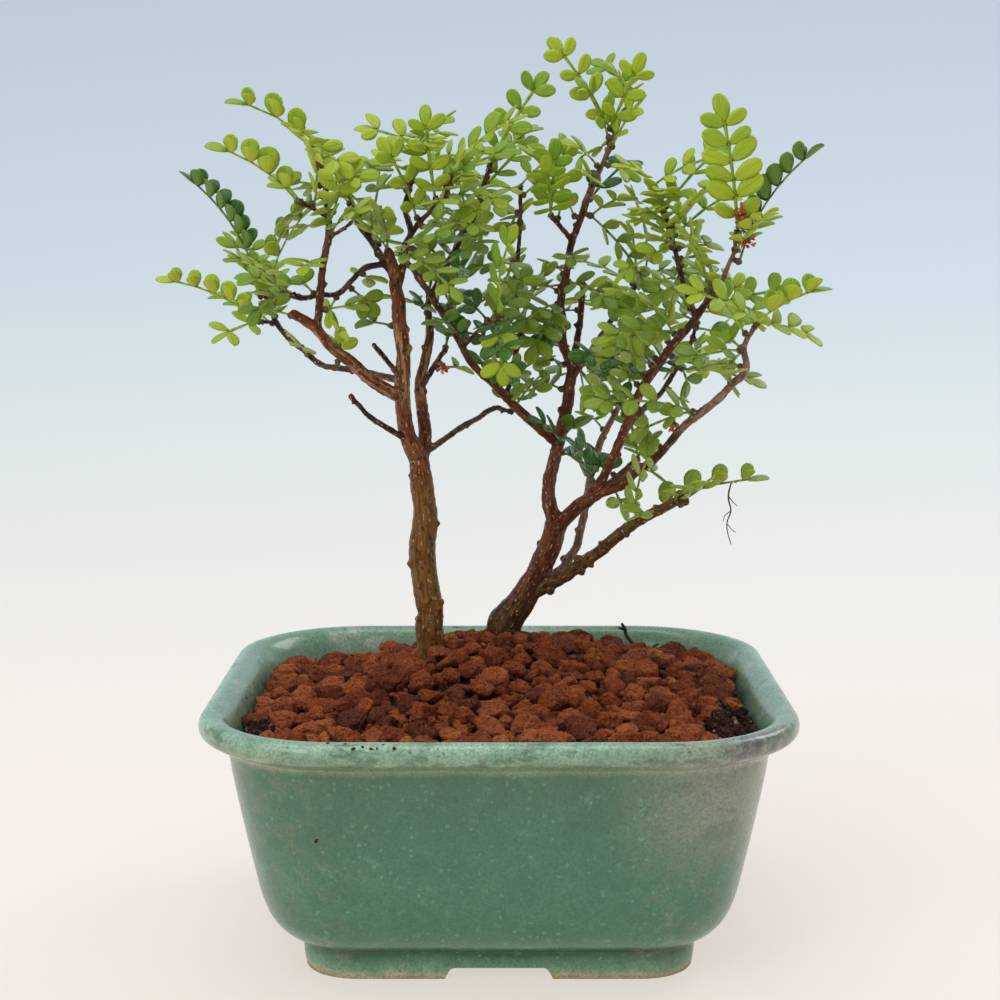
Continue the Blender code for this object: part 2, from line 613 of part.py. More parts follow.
def tube(name, route, group):
    """A round stem through the points of a route, as a closed mesh."""
    curve = bpy.data.curves.new(name, "CURVE")
    curve.dimensions = "3D"
    curve.bevel_depth = 1.0
    curve.bevel_resolution = 2 if route[0][3] > 2.5 else 1
    curve.use_fill_caps = True
    line = curve.splines.new("POLY")
    line.points.add(len(route) - 1)
    for point, (x, y, z, radius) in zip(line.points, route):
        point.co = (x, y, z, 1.0)
        point.radius = radius
    drawn = bpy.data.objects.new(name, curve)
    group.objects.link(drawn)
    bpy.context.view_layer.update()
    mesh = bpy.data.meshes.new_from_object(drawn.evaluated_get(bpy.context.evaluated_depsgraph_get()))
    made = place(name, mesh, group)
    made.matrix_world = drawn.matrix_world
    bpy.data.objects.remove(drawn, do_unlink=True)
    bpy.data.curves.remove(curve)
    bm = bmesh.new()
    bm.from_mesh(mesh)
    bmesh.ops.remove_doubles(bm, verts=bm.verts, dist=0.0001)
    bmesh.ops.recalc_face_normals(bm, faces=bm.faces)
    bm.to_mesh(mesh)
    bm.free()
    return made


def make_stems(name, stems, bark, parts, cutters):
    pieces = [tube(stem, route, cutters) for stem, route in stems.items()]
    trunk = pieces[0]
    cutters.objects.unlink(trunk)
    parts.objects.link(trunk)
    trunk.name = name
    fuse(trunk, pieces[1:])
    dress(trunk, bark)
    trunk.data.shade_smooth()
    trunk.data.set_sharp_from_angle(angle=math.radians(60))
    return trunk


# Leaves: where each one grows and hangs

class Stem:
    """A stretch of stem between two points of a route, used to seat sprays and to keep leaves clear."""

    def __init__(self, a, b, last):
        self.a = Vector(a[:3])
        self.b = Vector(b[:3])
        self.radii = (a[3], b[3])
        self.last = last

    def nearest(self, point):
        along = self.b - self.a
        share = max(0.0, min(1.0, (point - self.a).dot(along) / along.length_squared))
        spot = self.a + along * share
        radius = self.radii[0] + (self.radii[1] - self.radii[0]) * share
        return (point - spot).length, spot, radius, along.normalized(), self.last and share > 0.9


def stretches():
    made = []
    for stems in (LEFT_STEMS, RIGHT_STEMS):
        for route in stems.values():
            for k in range(len(route) - 1):
                made.append(Stem(route[k], route[k + 1], k == len(route) - 2))
    return made


class Room:
    """Keeps the points that stems and leaves take up, and says whether a new leaf is clear of them."""

    def __init__(self, stems):
        self.points = []
        self.reach = []
        self.owner = []
        for stem in stems:
            steps = max(1, int((stem.b - stem.a).length / 0.8))
            for k in range(steps + 1):
                radius = stem.radii[0] + (stem.radii[1] - stem.radii[0]) * k / steps
                self.add(stem.a.lerp(stem.b, k / steps), radius + STEM_GAP, None)
        self.grow()

    def add(self, point, reach, owner):
        self.points.append(point)
        self.reach.append(reach)
        self.owner.append(owner)

    def grow(self):
        self.tree = KDTree(len(self.points))
        for k, point in enumerate(self.points):
            self.tree.insert(point, k)
        self.tree.balance()
        self.widest = max(self.reach)

    def clear(self, samples, owner):
        """How far inside the nearest taken point a leaf's worst sample lies; 0 or less is clear."""
        worst = 0.0
        for point, from_seat in samples:
            for _, k, away in self.tree.find_range(point, self.widest):
                if self.owner[k] == owner and from_seat < 6.0:
                    continue
                if self.owner[k] is None and from_seat < 2.2:
                    continue
                worst = max(worst, self.reach[k] - away)
        return worst


def leaf_frame(seat, tip, face):
    """Direction along a leaf's rib, direction across it, and the way its upper side faces."""
    along = (tip - seat).normalized()
    up = (face - along * face.dot(along)).normalized()
    return along, along.cross(up), up


def leaf_samples(leaf):
    """Points all over the leaf's outline strip, each with its distance from the seat."""
    made = []
    steps = int(leaf["length"] / 1.5)
    for k in range(steps + 1):
        run = leaf["length"] * k / steps
        half = leaf["half_width"] if run > leaf["petiole"] - 1.0 else 0.0
        for column in range(-3, 4):
            if half == 0.0 and column != 0:
                continue
            made.append((leaf_point(leaf, run, half * column / 3), run))
    return made


def leaf_point(leaf, run, across, lift=0.0):
    """A point of the leaf: run along the rib, across it, and lifted off it."""
    share = run / leaf["length"]
    bow = leaf["bow"] * 4 * share * (1 - share)
    out, cup = leaf["fold"]
    along, side, up = leaf["frame"]
    return leaf["seat"] + along * run + side * across * out + up * (bow + cup * abs(across) + lift)


def lay_out_leaves():
    """Seats every spray on its stem and turns each leaf until it is clear of stems and other leaves."""
    stems = stretches()
    room = Room(stems)
    sprays = []
    for name, start, tone, tips in SPRAYS:
        draw = random.Random(f"{name} {SEED}")
        start = Vector(start)
        middle = sum((Vector(tip) for tip in tips), Vector()) / len(tips)
        _, spot, radius, along, at_end = min((stem.nearest(start) for stem in stems), key=lambda n: n[0])
        outward = (middle - spot).normalized()
        if at_end:
            seat = spot + along * (SEAT + BUD_RADIUS)
        else:
            outward = (outward - along * outward.dot(along)).normalized()
            seat = spot + outward * (radius + SEAT + BUD_RADIUS)
        petiole = LONG_PETIOLES.get(name, PETIOLE)
        leaves = []
        for number, tip in enumerate(tips):
            tip = Vector(tip)
            face = Vector((draw.uniform(-0.35, 0.35), draw.uniform(-1.0, -0.5), 1.0))
            face = Vector(FACING_FRONT.get(name, face))
            fold = FLAT_LEAF
            if number == 0 and name in FOLDED:
                face = Vector(FOLDED[name])
                fold = FOLDED_LEAF
            best = None
            for attempt in range(160):
                ease = attempt / 160
                aim = tip + Vector(draw.gauss(0, 1) for _ in range(3)) * (9.0 * ease if attempt else 0.0)
                reach = (tip - seat).length * (1.0 - 0.25 * ease)
                aim = seat + (aim - seat).normalized() * reach
                tilt = Vector(draw.gauss(0, 1) for _ in range(3)) * (0.8 * ease)
                leaf = {
                    "seat": seat,
                    "length": reach,
                    "half_width": BROAD_LEAVES.get(name, LEAF_HALF_WIDTH),
                    "petiole": petiole,
                    "bow": 0.09 * reach,
                    "fold": fold,
                    "frame": leaf_frame(seat, aim, face + tilt),
                    "pairs": max(1, round((reach - petiole - 2.5) / PAIR_PITCH)),
                }
                fault = room.clear(leaf_samples(leaf), name)
                if best is None or fault < best[0]:
                    best = (fault, leaf)
                if fault <= 0.0:
                    break
            if best[0] > 0.6:
                continue
            leaves.append(best[1])
            for point, run in leaf_samples(best[1]):
                if run > 1.0:
                    room.add(point, LEAF_GAP, name)
            room.grow()
        sprays.append((name, seat, tone, leaves))
    return sprays


# Leaves: their blades

RIB_HALF = 0.42
ROOT_HALF = 0.55


def leaf_blade(name, leaf, group):
    """A pinnate leaf as one thin arched blade, with its leaflets cut to the rib."""
    size = leaf["half_width"]
    pairs = leaf["pairs"]
    end = leaf["length"] - 0.95 * size
    base = leaf["petiole"] + ROOT_HALF
    pitch = (end - base) / pairs
    stations = [base + pitch * (k + 0.15) for k in range(pairs)]

    def sheet(bm):
        def vert(run, across):
            return bm.verts.new(leaf_point(leaf, run, across))

        def leaflet(root_a, root_b, run, across, forward, width):
            """Five corners: the two at the root, the two widest, and the tip."""
            way = Vector((forward, across)).normalized()
            side = Vector((-way.y, way.x))
            middle = Vector((run, 0.0))
            length = math.hypot(forward, across)
            corners = []
            for share, offset in ((0.58, -1), (1.0, 0), (0.58, 1)):
                spot = middle + way * (length * share) + side * (offset * width)
                corners.append(vert(spot.x, spot.y))
            first, point, last = corners
            bm.faces.new((root_a, first, root_b))
            bm.faces.new((first, last, root_b))
            bm.faces.new((first, point, last))

        runs = [0.0]
        for station in stations:
            runs += [station - ROOT_HALF, station + ROOT_HALF]
        runs.append(end)
        left = [vert(run, RIB_HALF) for run in runs]
        right = [vert(run, -RIB_HALF) for run in runs]
        for k in range(len(runs) - 1):
            bm.faces.new((right[k], right[k + 1], left[k]))
            bm.faces.new((right[k + 1], left[k + 1], left[k]))
        for k, station in enumerate(stations):
            grow = 0.82 + 0.18 * math.sin(math.pi * (k + 0.8) / (pairs + 0.6))
            out = size * grow
            width = min(0.36 * out, 0.47 * pitch)
            a, b = 1 + 2 * k, 2 + 2 * k
            leaflet(left[b], left[a], station, out, 0.32 * out, width)
            leaflet(right[a], right[b], station, -out, 0.32 * out, width)
        first = vert(end + 0.5 * size, 0.33 * size)
        point = vert(leaf["length"], 0.0)
        last = vert(end + 0.5 * size, -0.33 * size)
        bm.faces.new((left[-1], last, first))
        bm.faces.new((left[-1], right[-1], last))
        bm.faces.new((first, last, point))
        bmesh.ops.recalc_face_normals(bm, faces=bm.faces)

    made = place(name, mesh_of(name, sheet), group)
    blade = made.modifiers.new("blade", "SOLIDIFY")
    blade.thickness = BLADE
    blade.offset = 0.0
    return bake(made)


def make_sprays(parts, cutters):
    for name, seat, tone, leaves in lay_out_leaves():
        def bud(bm):
            bmesh.ops.create_icosphere(bm, subdivisions=1, radius=BUD_RADIUS,
                                       matrix=Matrix.Translation(seat))

        spray = place("leaves_" + name, mesh_of(name, bud), parts)
        blades = [leaf_blade(name, leaf, cutters) for leaf in leaves]
        fuse(spray, blades)
        dress(spray, "leaf_" + tone)


# Flower buds

def make_buds(parts, cutters):
    draw = random.Random(SEED + 1)
    stems = stretches()
    for name, start, way in BUD_CLUSTERS:
        _, spot, radius, along, _ = min((stem.nearest(Vector(start)) for stem in stems), key=lambda n: n[0])
        way = Vector(way)
        way = (way - along * way.dot(along)).normalized()
        centre = spot + way * (radius + SEAT + 0.9)

        def lump(bm, offset, size):
            bmesh.ops.create_icosphere(bm, subdivisions=1, radius=size,
                                       matrix=Matrix.Translation(centre + offset))

        cluster = place(name, mesh_of(name, lambda bm: lump(bm, Vector(), 0.9)), parts)
        beads = []
        for k in range(3):
            turn = 2.1 * k
            side = way.orthogonal().normalized()
            other = way.cross(side)
            offset = (side * math.cos(turn) + other * math.sin(turn)) * 0.95 + way * (0.5 + 0.25 * k)
            size = draw.uniform(0.6, 0.8)
            beads.append(place("bead", mesh_of("bead", lambda bm: lump(bm, offset, size)), cutters))
        fuse(cluster, beads)
        dress(cluster, "red_buds")


# The whole

def main():
    clear_scene()
    parts = collection("chinese_pepper_bonsai")
    cutters = collection("cutters")
    make_pot(parts, cutters)
    make_drain_mesh(parts)
    make_soil(parts, cutters)
    make_stems("trunk_left", LEFT_STEMS, "bark_olive", parts, cutters)
    make_stems("trunk_right", RIGHT_STEMS, "bark_red", parts, cutters)
    make_sprays(parts, cutters)
    make_buds(parts, cutters)

    corners = [v.co for made in parts.objects for v in made.data.vertices]
    middle_x = (min(c.x for c in corners) + max(c.x for c in corners)) / 2
    middle_y = (min(c.y for c in corners) + max(c.y for c in corners)) / 2
    to_metres = Matrix.Scale(MM, 4) @ Matrix.Translation((-middle_x, -middle_y, 0))
    for made in parts.objects:
        made.data.transform(to_metres)
        made.data.update()


main()
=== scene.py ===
# Chinese pepper bonsai in its glazed pot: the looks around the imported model.
# The parts follow in the order in which the plant and its pot are put together.

import math
import random

import bmesh
import bpy
import numpy as np
from mathutils import Matrix, Vector


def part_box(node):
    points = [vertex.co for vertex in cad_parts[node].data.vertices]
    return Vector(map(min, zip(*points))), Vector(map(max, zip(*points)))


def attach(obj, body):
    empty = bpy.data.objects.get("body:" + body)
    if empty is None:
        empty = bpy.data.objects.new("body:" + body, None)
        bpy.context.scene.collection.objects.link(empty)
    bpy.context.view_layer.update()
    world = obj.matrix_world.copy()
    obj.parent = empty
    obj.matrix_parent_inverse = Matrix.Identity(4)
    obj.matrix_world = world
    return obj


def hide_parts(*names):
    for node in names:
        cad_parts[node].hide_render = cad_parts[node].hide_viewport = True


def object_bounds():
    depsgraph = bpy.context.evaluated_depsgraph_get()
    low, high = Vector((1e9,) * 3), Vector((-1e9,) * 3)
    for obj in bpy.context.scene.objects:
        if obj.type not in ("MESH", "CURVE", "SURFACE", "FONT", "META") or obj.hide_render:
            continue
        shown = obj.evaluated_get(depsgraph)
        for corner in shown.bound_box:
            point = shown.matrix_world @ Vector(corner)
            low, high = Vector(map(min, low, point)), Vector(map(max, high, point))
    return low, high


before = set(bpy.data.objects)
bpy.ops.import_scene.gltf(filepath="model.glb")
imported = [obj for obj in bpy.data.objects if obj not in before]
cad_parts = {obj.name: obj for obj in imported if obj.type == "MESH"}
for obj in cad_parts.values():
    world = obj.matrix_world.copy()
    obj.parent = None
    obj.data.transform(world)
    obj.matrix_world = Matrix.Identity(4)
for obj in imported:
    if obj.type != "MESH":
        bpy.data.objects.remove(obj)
cad_box = [list(corner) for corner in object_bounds()]
bpy.ops.object.select_all(action="DESELECT")
pot_low, pot_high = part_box("pot")
POT_X = (pot_low.x + pot_high.x) / 2
POT_Y = (pot_low.y + pot_high.y) / 2
MM = 0.001


# The set. A pale floor sweeps up into a backdrop that is warm white below and blue above.
# It is card that glows with its own painted light in that gradient, and broad soft lamps light it as well.
# The camera stands above the rim and looks down a little.

def paint(red, green, blue):
    """A colour given in the usual 0 to 255 steps, as the shader's linear values."""
    steps = [c / 255 for c in (red, green, blue)]
    return (*[c / 12.92 if c < 0.04 else ((c + 0.055) / 1.055) ** 2.4 for c in steps], 1.0)


def add(tree, kind, sockets=None, **settings):
    """Adds a shader node, sets it, and joins or fills its sockets."""
    made = tree.nodes.new("ShaderNode" + kind)
    for key, value in settings.items():
        setattr(made, key, value)
    for key, value in (sockets or {}).items():
        if isinstance(value, bpy.types.NodeSocket):
            tree.links.new(value, made.inputs[key])
        else:
            made.inputs[key].default_value = value
    return made


def blend(tree, share, low, high):
    """One colour laid over another by a share from 0 to 1."""
    return add(tree, "Mix", {0: share, 6: low, 7: high}, data_type="RGBA").outputs[2]


def sum_of(tree, what, a, b=0.0, c=0.0):
    """One step of arithmetic on values."""
    return add(tree, "Math", {0: a, 1: b, 2: c}, operation=what).outputs[0]


def times(tree, a, b):
    """Two values multiplied, such as two masks of which only the shared part counts."""
    return sum_of(tree, "MULTIPLY", a, b)


def span(tree, value, low, high, to_low=0.0, to_high=1.0):
    """A value brought from one range to another and held inside it, with soft ends."""
    made = add(tree, "MapRange", {0: value, 1: low, 2: high, 3: to_low, 4: to_high},
               interpolation_type="SMOOTHSTEP")
    return made.outputs[0]


def ramp(tree, value, stops):
    """Colours along a value, each at its own place."""
    made = add(tree, "ValToRGB", {0: value})
    made.color_ramp.elements[0].position = stops[0][0]
    made.color_ramp.elements[0].color = stops[0][1]
    made.color_ramp.elements[1].position = stops[-1][0]
    made.color_ramp.elements[1].color = stops[-1][1]
    for place, colour in stops[1:-1]:
        made.color_ramp.elements.new(place).color = colour
    return made.outputs[0]


def finish_of(name):
    """A new material, with its node tree and its shader."""
    made = bpy.data.materials.new(name)
    made.use_nodes = True
    return made, made.node_tree, made.node_tree.nodes["Principled BSDF"]


def join(tree, shader, **sockets):
    """Joins values to the shader's sockets, whose names are written with underlines for spaces."""
    for key, value in sockets.items():
        tree.links.new(value, shader.inputs[key.replace("_", " ")])


def pick_edges(wanted):
    """Selects the edges of the mesh in hand whose two ends meet a rule."""
    bpy.ops.mesh.select_all(action="DESELECT")
    cage = bmesh.from_edit_mesh(bpy.context.object.data)
    for edge in cage.edges:
        edge.select_set(all(wanted(v.co) for v in edge.verts))
    cage.select_flush_mode()


def put_in(name, data):
    """A new object in the scene, from its mesh, curve, lamp or camera."""
    made = bpy.data.objects.new(name, data)
    bpy.context.scene.collection.objects.link(made)
    return made


FLOOR_HALF = 1.9
FLOOR_FRONT = -1.5
WALL_Y = 1.0
WALL_HIGH = 1.8
SWEEP_BEND = 0.5

bpy.ops.mesh.primitive_plane_add(size=2.0, location=(0, 0, 0))
sweep = bpy.context.object
sweep.name = "studio_sweep"
bpy.ops.object.mode_set(mode="EDIT")
bpy.ops.transform.resize(value=(FLOOR_HALF, (WALL_Y - FLOOR_FRONT) / 2, 1))
bpy.ops.transform.translate(value=(0, (WALL_Y + FLOOR_FRONT) / 2, 0))
bpy.ops.mesh.select_mode(type="EDGE")
pick_edges(lambda spot: spot.y > WALL_Y - 0.01)
bpy.ops.mesh.extrude_region_move(TRANSFORM_OT_translate={"value": (0, 0, WALL_HIGH)})
pick_edges(lambda spot: spot.y > WALL_Y - 0.01 and spot.z < 0.01)
bpy.ops.mesh.bevel(offset=SWEEP_BEND, segments=24, affect="EDGES")
bpy.ops.object.mode_set(mode="OBJECT")
bpy.ops.object.shade_smooth()

card, tree, shader = finish_of("sweep_card")
where = add(tree, "SeparateXYZ", {0: add(tree, "TexCoord").outputs["Object"]})
rise = sum_of(tree, "MULTIPLY_ADD", where.outputs["Z"], 3.0, where.outputs["Y"])
tone = ramp(tree, sum_of(tree, "MULTIPLY_ADD", rise, 0.37, 0.185), [
    (0.0, paint(255, 243, 232)), (0.2, paint(250, 241, 233)), (0.36, paint(241, 240, 236)),
    (0.5, paint(229, 237, 237)), (0.62, paint(213, 227, 235)), (0.8, paint(203, 217, 229)),
    (1.0, paint(192, 205, 219)),
])
# Painted light: the card glows in the same gradient as its colour, which is kept darker than the glow.
join(tree, shader, Base_Color=blend(tree, 0.6, tone, (0, 0, 0, 1)), Emission_Color=tone)
shader.inputs["Roughness"].default_value = 0.95
shader.inputs["Specular IOR Level"].default_value = 0.0
shader.inputs["Emission Strength"].default_value = 0.62
sweep.data.materials.append(card)

sky = bpy.data.worlds.new("soft_sky")
bpy.context.scene.world = sky
sky.use_nodes = True
sky.node_tree.nodes["Background"].inputs["Color"].default_value = (0.9, 0.95, 1.0, 1.0)
sky.node_tree.nodes["Background"].inputs["Strength"].default_value = 0.32


def lamp(name, spot, aim, size, power, tint=(1, 1, 1)):
    """A square soft lamp that faces a point."""
    light = bpy.data.lights.new(name, "AREA")
    light.shape = "SQUARE"
    light.size = size
    light.energy = power
    light.color = tint
    made = put_in(name, light)
    made.location = spot
    made.rotation_euler = (Vector(aim) - Vector(spot)).to_track_quat("-Z", "Y").to_euler()


lamp("overhead", (-0.15, -0.1, 1.15), (0, 0, 0.08), 1.0, 6.0, (1.0, 0.99, 0.97))
lamp("front_left", (-0.75, -1.0, 0.75), (0, 0, 0.1), 0.7, 4.5)
lamp("back_right", (0.7, 0.55, 0.8), (0, 0, 0.15), 0.5, 3.0, (0.97, 0.99, 1.0))

LENS = 68.4
CAMERA_AWAY = 0.4227
CAMERA_HIGH = 0.155
CAMERA_DOWN = 0.136
view = bpy.data.cameras.new("view")
view.sensor_width = 36.0
view.lens = LENS
view.clip_start = 0.01
camera = put_in("view", view)
camera.location = (POT_X + 0.0002, POT_Y - CAMERA_AWAY, CAMERA_HIGH)
camera.rotation_euler = (math.pi / 2 - CAMERA_DOWN, 0, 0)
bpy.context.scene.camera = camera
bpy.context.scene.view_settings.view_transform = "Standard"


# The pot is a low rounded rectangle of thrown and pressed clay on four feet, with a rolled lip.
# It is glazed in a mottled celadon green that breaks to cream at the foot and under the lip.
RIM_HALF_X = 63.4
RIM_HALF_Y = 59.9
RIM_CORNER = 30.0
CORNER_TAPER = 0.85
FOOT_RECESS = (20.5, 25.5)
FOOT_RECESS_HEIGHT = 2.7
RECESS_LENGTH = 200.0
RECESS_EASING = 0.9
DRAIN_HOLE_RADIUS = 6.0
FLOOR_Z = 8.0
LIP_INNER_STATION = 22
POT_SHARP_EDGE = 38
POT_SECTION = [
    (33.0, 3.0), (33.6, 0.0), (40.9, 0.0), (41.8, 0.7), (42.2, 3.0), (42.3, 5.4), (42.9, 6.6),
    (44.4, 7.4), (46.9, 9.2), (49.3, 12.3), (51.1, 17.0), (52.7, 24.0), (54.3, 31.5), (55.7, 38.5),
    (56.8, 44.5), (57.8, 49.6), (60.5, 51.0), (62.8, 52.4), (63.4, 54.2), (62.8, 56.0), (61.1, 56.6),
    (59.2, 56.2), (57.7, 54.8), (56.1, 51.5), (53.9, 42.0), (51.4, 30.0), (48.8, 19.0), (45.6, 12.5),
    (41.0, 9.0), (34.0, 8.0),
]


def rounded_ring(half_x, height, steps=14, straight=6):
    """Points round the pot at one height. Its corners get tighter towards the foot."""
    half_y = half_x - (RIM_HALF_X - RIM_HALF_Y)
    radius = RIM_CORNER - (RIM_HALF_X - half_x) * CORNER_TAPER

    def spot(corner, quarter):
        turn = math.radians(90 * (corner + quarter))
        return Vector(((1, -1, -1, 1)[corner] * (half_x - radius) + radius * math.cos(turn),
                       (1, 1, -1, -1)[corner] * (half_y - radius) + radius * math.sin(turn), height))

    points = []
    for corner in range(4):
        points += [spot(corner, step / steps) for step in range(steps + 1)]
        end, start = points[-1], spot((corner + 1) % 4, 0)
        points += [end.lerp(start, k / straight) for k in range(1, straight)]
    return points


def eased(rows, count):
    """A row of numbers with more in between, on a smooth curve through them all."""
    made = []
    for k in range(len(rows) - 1):
        before, a, b, after = [Vector(rows[max(0, min(len(rows) - 1, k + j))]) for j in (-1, 0, 1, 2)]
        for step in range(count):
            t = step / count
            made.append(0.5 * (2 * a + (b - before) * t + (2 * before - 5 * a + 4 * b - after) * t * t
                               + (3 * a - before - 3 * b + after) * t ** 3))
    made.append(Vector(rows[-1]))
    return made


def ring_faces(levels, count):
    """The faces between a stack of rings of so many points each, and the two that close its ends."""
    faces = []
    for level in range(levels - 1):
        for k in range(count):
            a, b = level * count + k, level * count + (k + 1) % count
            faces.append([a, b, b + count, a + count])
    last = (levels - 1) * count
    return faces + [list(reversed(range(count))), list(range(last, last + count))]


def to_frame(point):
    """A point in millimetres round the pot's middle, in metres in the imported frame."""
    return Vector((point[0] * MM + POT_X, point[1] * MM + POT_Y, point[2] * MM))


def skin(name, rings):
    """A closed body through a stack of rings of points in millimetres round the pot's middle."""
    mesh = bpy.data.meshes.new(name)
    mesh.from_pydata([to_frame(p) for ring in rings for p in ring], [], ring_faces(len(rings), len(rings[0])))
    made = put_in(name, mesh)
    work_on(made)
    face_outward()
    return made


def face_outward():
    """Turns the faces of the piece in hand so that they all look outwards."""
    bpy.ops.object.mode_set(mode="EDIT")
    bpy.ops.mesh.select_all(action="SELECT")
    bpy.ops.mesh.normals_make_consistent(inside=False)
    bpy.ops.object.mode_set(mode="OBJECT")


def work_on(piece):
    """Makes one piece the selected and active one."""
    bpy.ops.object.select_all(action="DESELECT")
    piece.select_set(True)
    bpy.context.view_layer.objects.active = piece


def modify(piece, name, kind, **settings):
    """Adds a modifier to a piece and sets it."""
    made = piece.modifiers.new(name, kind)
    for key, value in settings.items():
        setattr(made, key, value)


def settle(piece):
    """Applies all of a piece's modifiers, in their order."""
    work_on(piece)
    for modifier in list(piece.modifiers):
        bpy.ops.object.modifier_apply(modifier=modifier.name)


def carve(piece, cutter):
    """Cuts one piece with another, which is then removed."""
    modify(piece, "cut", "BOOLEAN", operation="DIFFERENCE", solver="EXACT", object=cutter)
    settle(piece)
    bpy.data.objects.remove(cutter, do_unlink=True)


section = eased([(half, height, 0) for half, height in POT_SECTION], 3)
pot = skin("glazed_pot", [rounded_ring(p.x, max(0.0, p.y)) for p in section])

for along_x in (True, False):
    bpy.ops.mesh.primitive_cube_add(size=1.0, location=(POT_X, POT_Y, 0))
    recess = bpy.context.object
    bpy.ops.object.mode_set(mode="EDIT")
    wide, long_side = FOOT_RECESS[1] * MM, RECESS_LENGTH * MM
    bpy.ops.transform.resize(value=(wide, long_side, 2 * FOOT_RECESS_HEIGHT * MM) if along_x
                             else (long_side, wide, 2 * FOOT_RECESS_HEIGHT * MM))
    bpy.ops.mesh.select_mode(type="FACE")
    bpy.ops.mesh.select_all(action="DESELECT")
    cage = bmesh.from_edit_mesh(recess.data)
    for face in cage.faces:
        face.select_set(face.normal.z > 0.9)
    squeeze = FOOT_RECESS[0] / FOOT_RECESS[1]
    bpy.ops.transform.resize(value=(squeeze, 1, 1) if along_x else (1, squeeze, 1))
    bpy.ops.mesh.select_mode(type="EDGE")
    bpy.ops.mesh.region_to_loop()
    bpy.ops.mesh.bevel(offset=RECESS_EASING * MM, segments=3, affect="EDGES")
    bpy.ops.object.mode_set(mode="OBJECT")
    carve(pot, recess)

bpy.ops.mesh.primitive_cylinder_add(vertices=40, radius=DRAIN_HOLE_RADIUS * MM, depth=4 * FLOOR_Z * MM,
                                    location=(POT_X, POT_Y, 0))
carve(pot, bpy.context.object)
work_on(pot)
bpy.ops.object.shade_smooth_by_angle(angle=math.radians(POT_SHARP_EDGE))


def points_of(piece):
    """A piece's points, one to a row."""
    return np.array([v.co for v in piece.data.vertices])


def faces_of(piece):
    """A piece's faces, each as the numbers of its points."""
    return [list(face.vertices) for face in piece.data.polygons]


def mark(piece, name, values, domain="POINT"):
    """Keeps numbers on a piece's points or faces, where its finish reads them."""
    values = np.asarray(values, dtype=float)
    kind, key = ("FLOAT", "value") if values.ndim == 1 else ("FLOAT_VECTOR", "vector")
    piece.data.attributes.new(name, kind, domain).data.foreach_set(key, values.ravel())


# Where the glaze lies: inside the pot, and how near a corner, kept on the points for the glaze below.
points = points_of(pot)
facing = np.array([v.normal for v in pot.data.vertices])
flat = (points[:, :2] - np.array((POT_X, POT_Y))) / MM
towards = (facing[:, :2] * flat).sum(1) / np.maximum(np.hypot(*flat.T), 1.0)
high = points[:, 2] / MM
inner = np.clip(0.5 - 3.0 * towards, 0, 1) * (high > 7.0)
reach = np.interp(high, [0, 7, 17, 45, 63], [41, 43, 51, 57, 63])
corner = np.clip((np.abs(flat[:, 0] * flat[:, 1]) / reach ** 2 - 0.42) / 0.26, 0, 1)
mark(pot, "glaze_lay", np.stack([inner, corner, 0 * inner], 1))

# Specks and mottling serve the glaze, the clay and the bark, each with its own sizes.
specks = bpy.data.node_groups.new("specks", "ShaderNodeTree")
for name, kind in (("Place", "NodeSocketVector"), ("Size", "NodeSocketFloat"), ("Share", "NodeSocketFloat"),
                   ("Spread", "NodeSocketFloat")):
    specks.interface.new_socket(name, in_out="INPUT", socket_type=kind)
specks.interface.new_socket("Mask", in_out="OUTPUT", socket_type="NodeSocketFloat")
inlet = specks.nodes.new("NodeGroupInput").outputs
outlet = specks.nodes.new("NodeGroupOutput").inputs
pitch = sum_of(specks, "DIVIDE", 1.0, inlet["Size"])
shift = add(specks, "TexNoise", {"Vector": inlet["Place"], "Scale": pitch, "Detail": 2.0})
bent = add(specks, "VectorMath", {0: shift.outputs["Color"], 1: (0.5, 0.5, 0.5)}, operation="SUBTRACT")
bent = add(specks, "VectorMath", {0: bent.outputs[0], 1: inlet["Size"], 2: inlet["Place"]},
           operation="MULTIPLY_ADD")
cells = add(specks, "TexVoronoi", {"Vector": bent.outputs[0], "Scale": pitch})
chance = add(specks, "SeparateColor", {0: cells.outputs["Color"]})
dot = span(specks, cells.outputs["Distance"], sum_of(specks, "ADD", inlet["Spread"], 0.12), inlet["Spread"])
chosen = sum_of(specks, "LESS_THAN", chance.outputs[0], inlet["Share"])
specks.links.new(sum_of(specks, "MULTIPLY", dot, chosen), outlet["Mask"])


def specks_at(tree, place, size, share, spread=0.3):
    """Places the speck group: cells of one size, of which a share holds a dot of that spread."""
    made = add(tree, "Group", node_tree=specks)
    tree.links.new(place, made.inputs["Place"])
    for key, value in (("Size", size), ("Share", share), ("Spread", spread)):
        made.inputs[key].default_value = value
    return made.outputs["Mask"]


def noise(tree, place, scale, detail=4.0, rough=0.55, twist=0.0):
    """A cloudy value round one half, finer as the scale rises."""
    made = add(tree, "TexNoise", {"Vector": place, "Scale": scale, "Detail": detail, "Roughness": rough,
                                  "Distortion": twist})
    return made.outputs[0]


def patchy(tree, place, scale, low, high, *grain):
    """Soft patches of one size, where a noise lies between two of its values."""
    return span(tree, noise(tree, place, scale, *grain), low, high)


def kept(tree, name, what="Fac"):
    """What a piece keeps under a name on its points or faces."""
    return add(tree, "Attribute", attribute_name=name).outputs[what]


def in_millimetres(tree):
    """Object coordinates in millimetres from the middle of the pot's underside."""
    source = add(tree, "TexCoord").outputs["Object"]
    made = add(tree, "Mapping", {0: source, 1: (-POT_X / MM, -POT_Y / MM, 0), 3: (1 / MM, 1 / MM, 1 / MM)})
    return made.outputs[0]


def over(tree, under, mask, most, colour):
    """A colour laid over another where a mask is, up to a share."""
    return blend(tree, times(tree, mask, most), under, colour)


def stretched(tree, place, scale, shift=(0, 0, 0)):
    """Coordinates drawn out or moved, for a pattern that runs one way."""
    return add(tree, "Mapping", {0: place, 1: shift, 3: scale}).outputs[0]


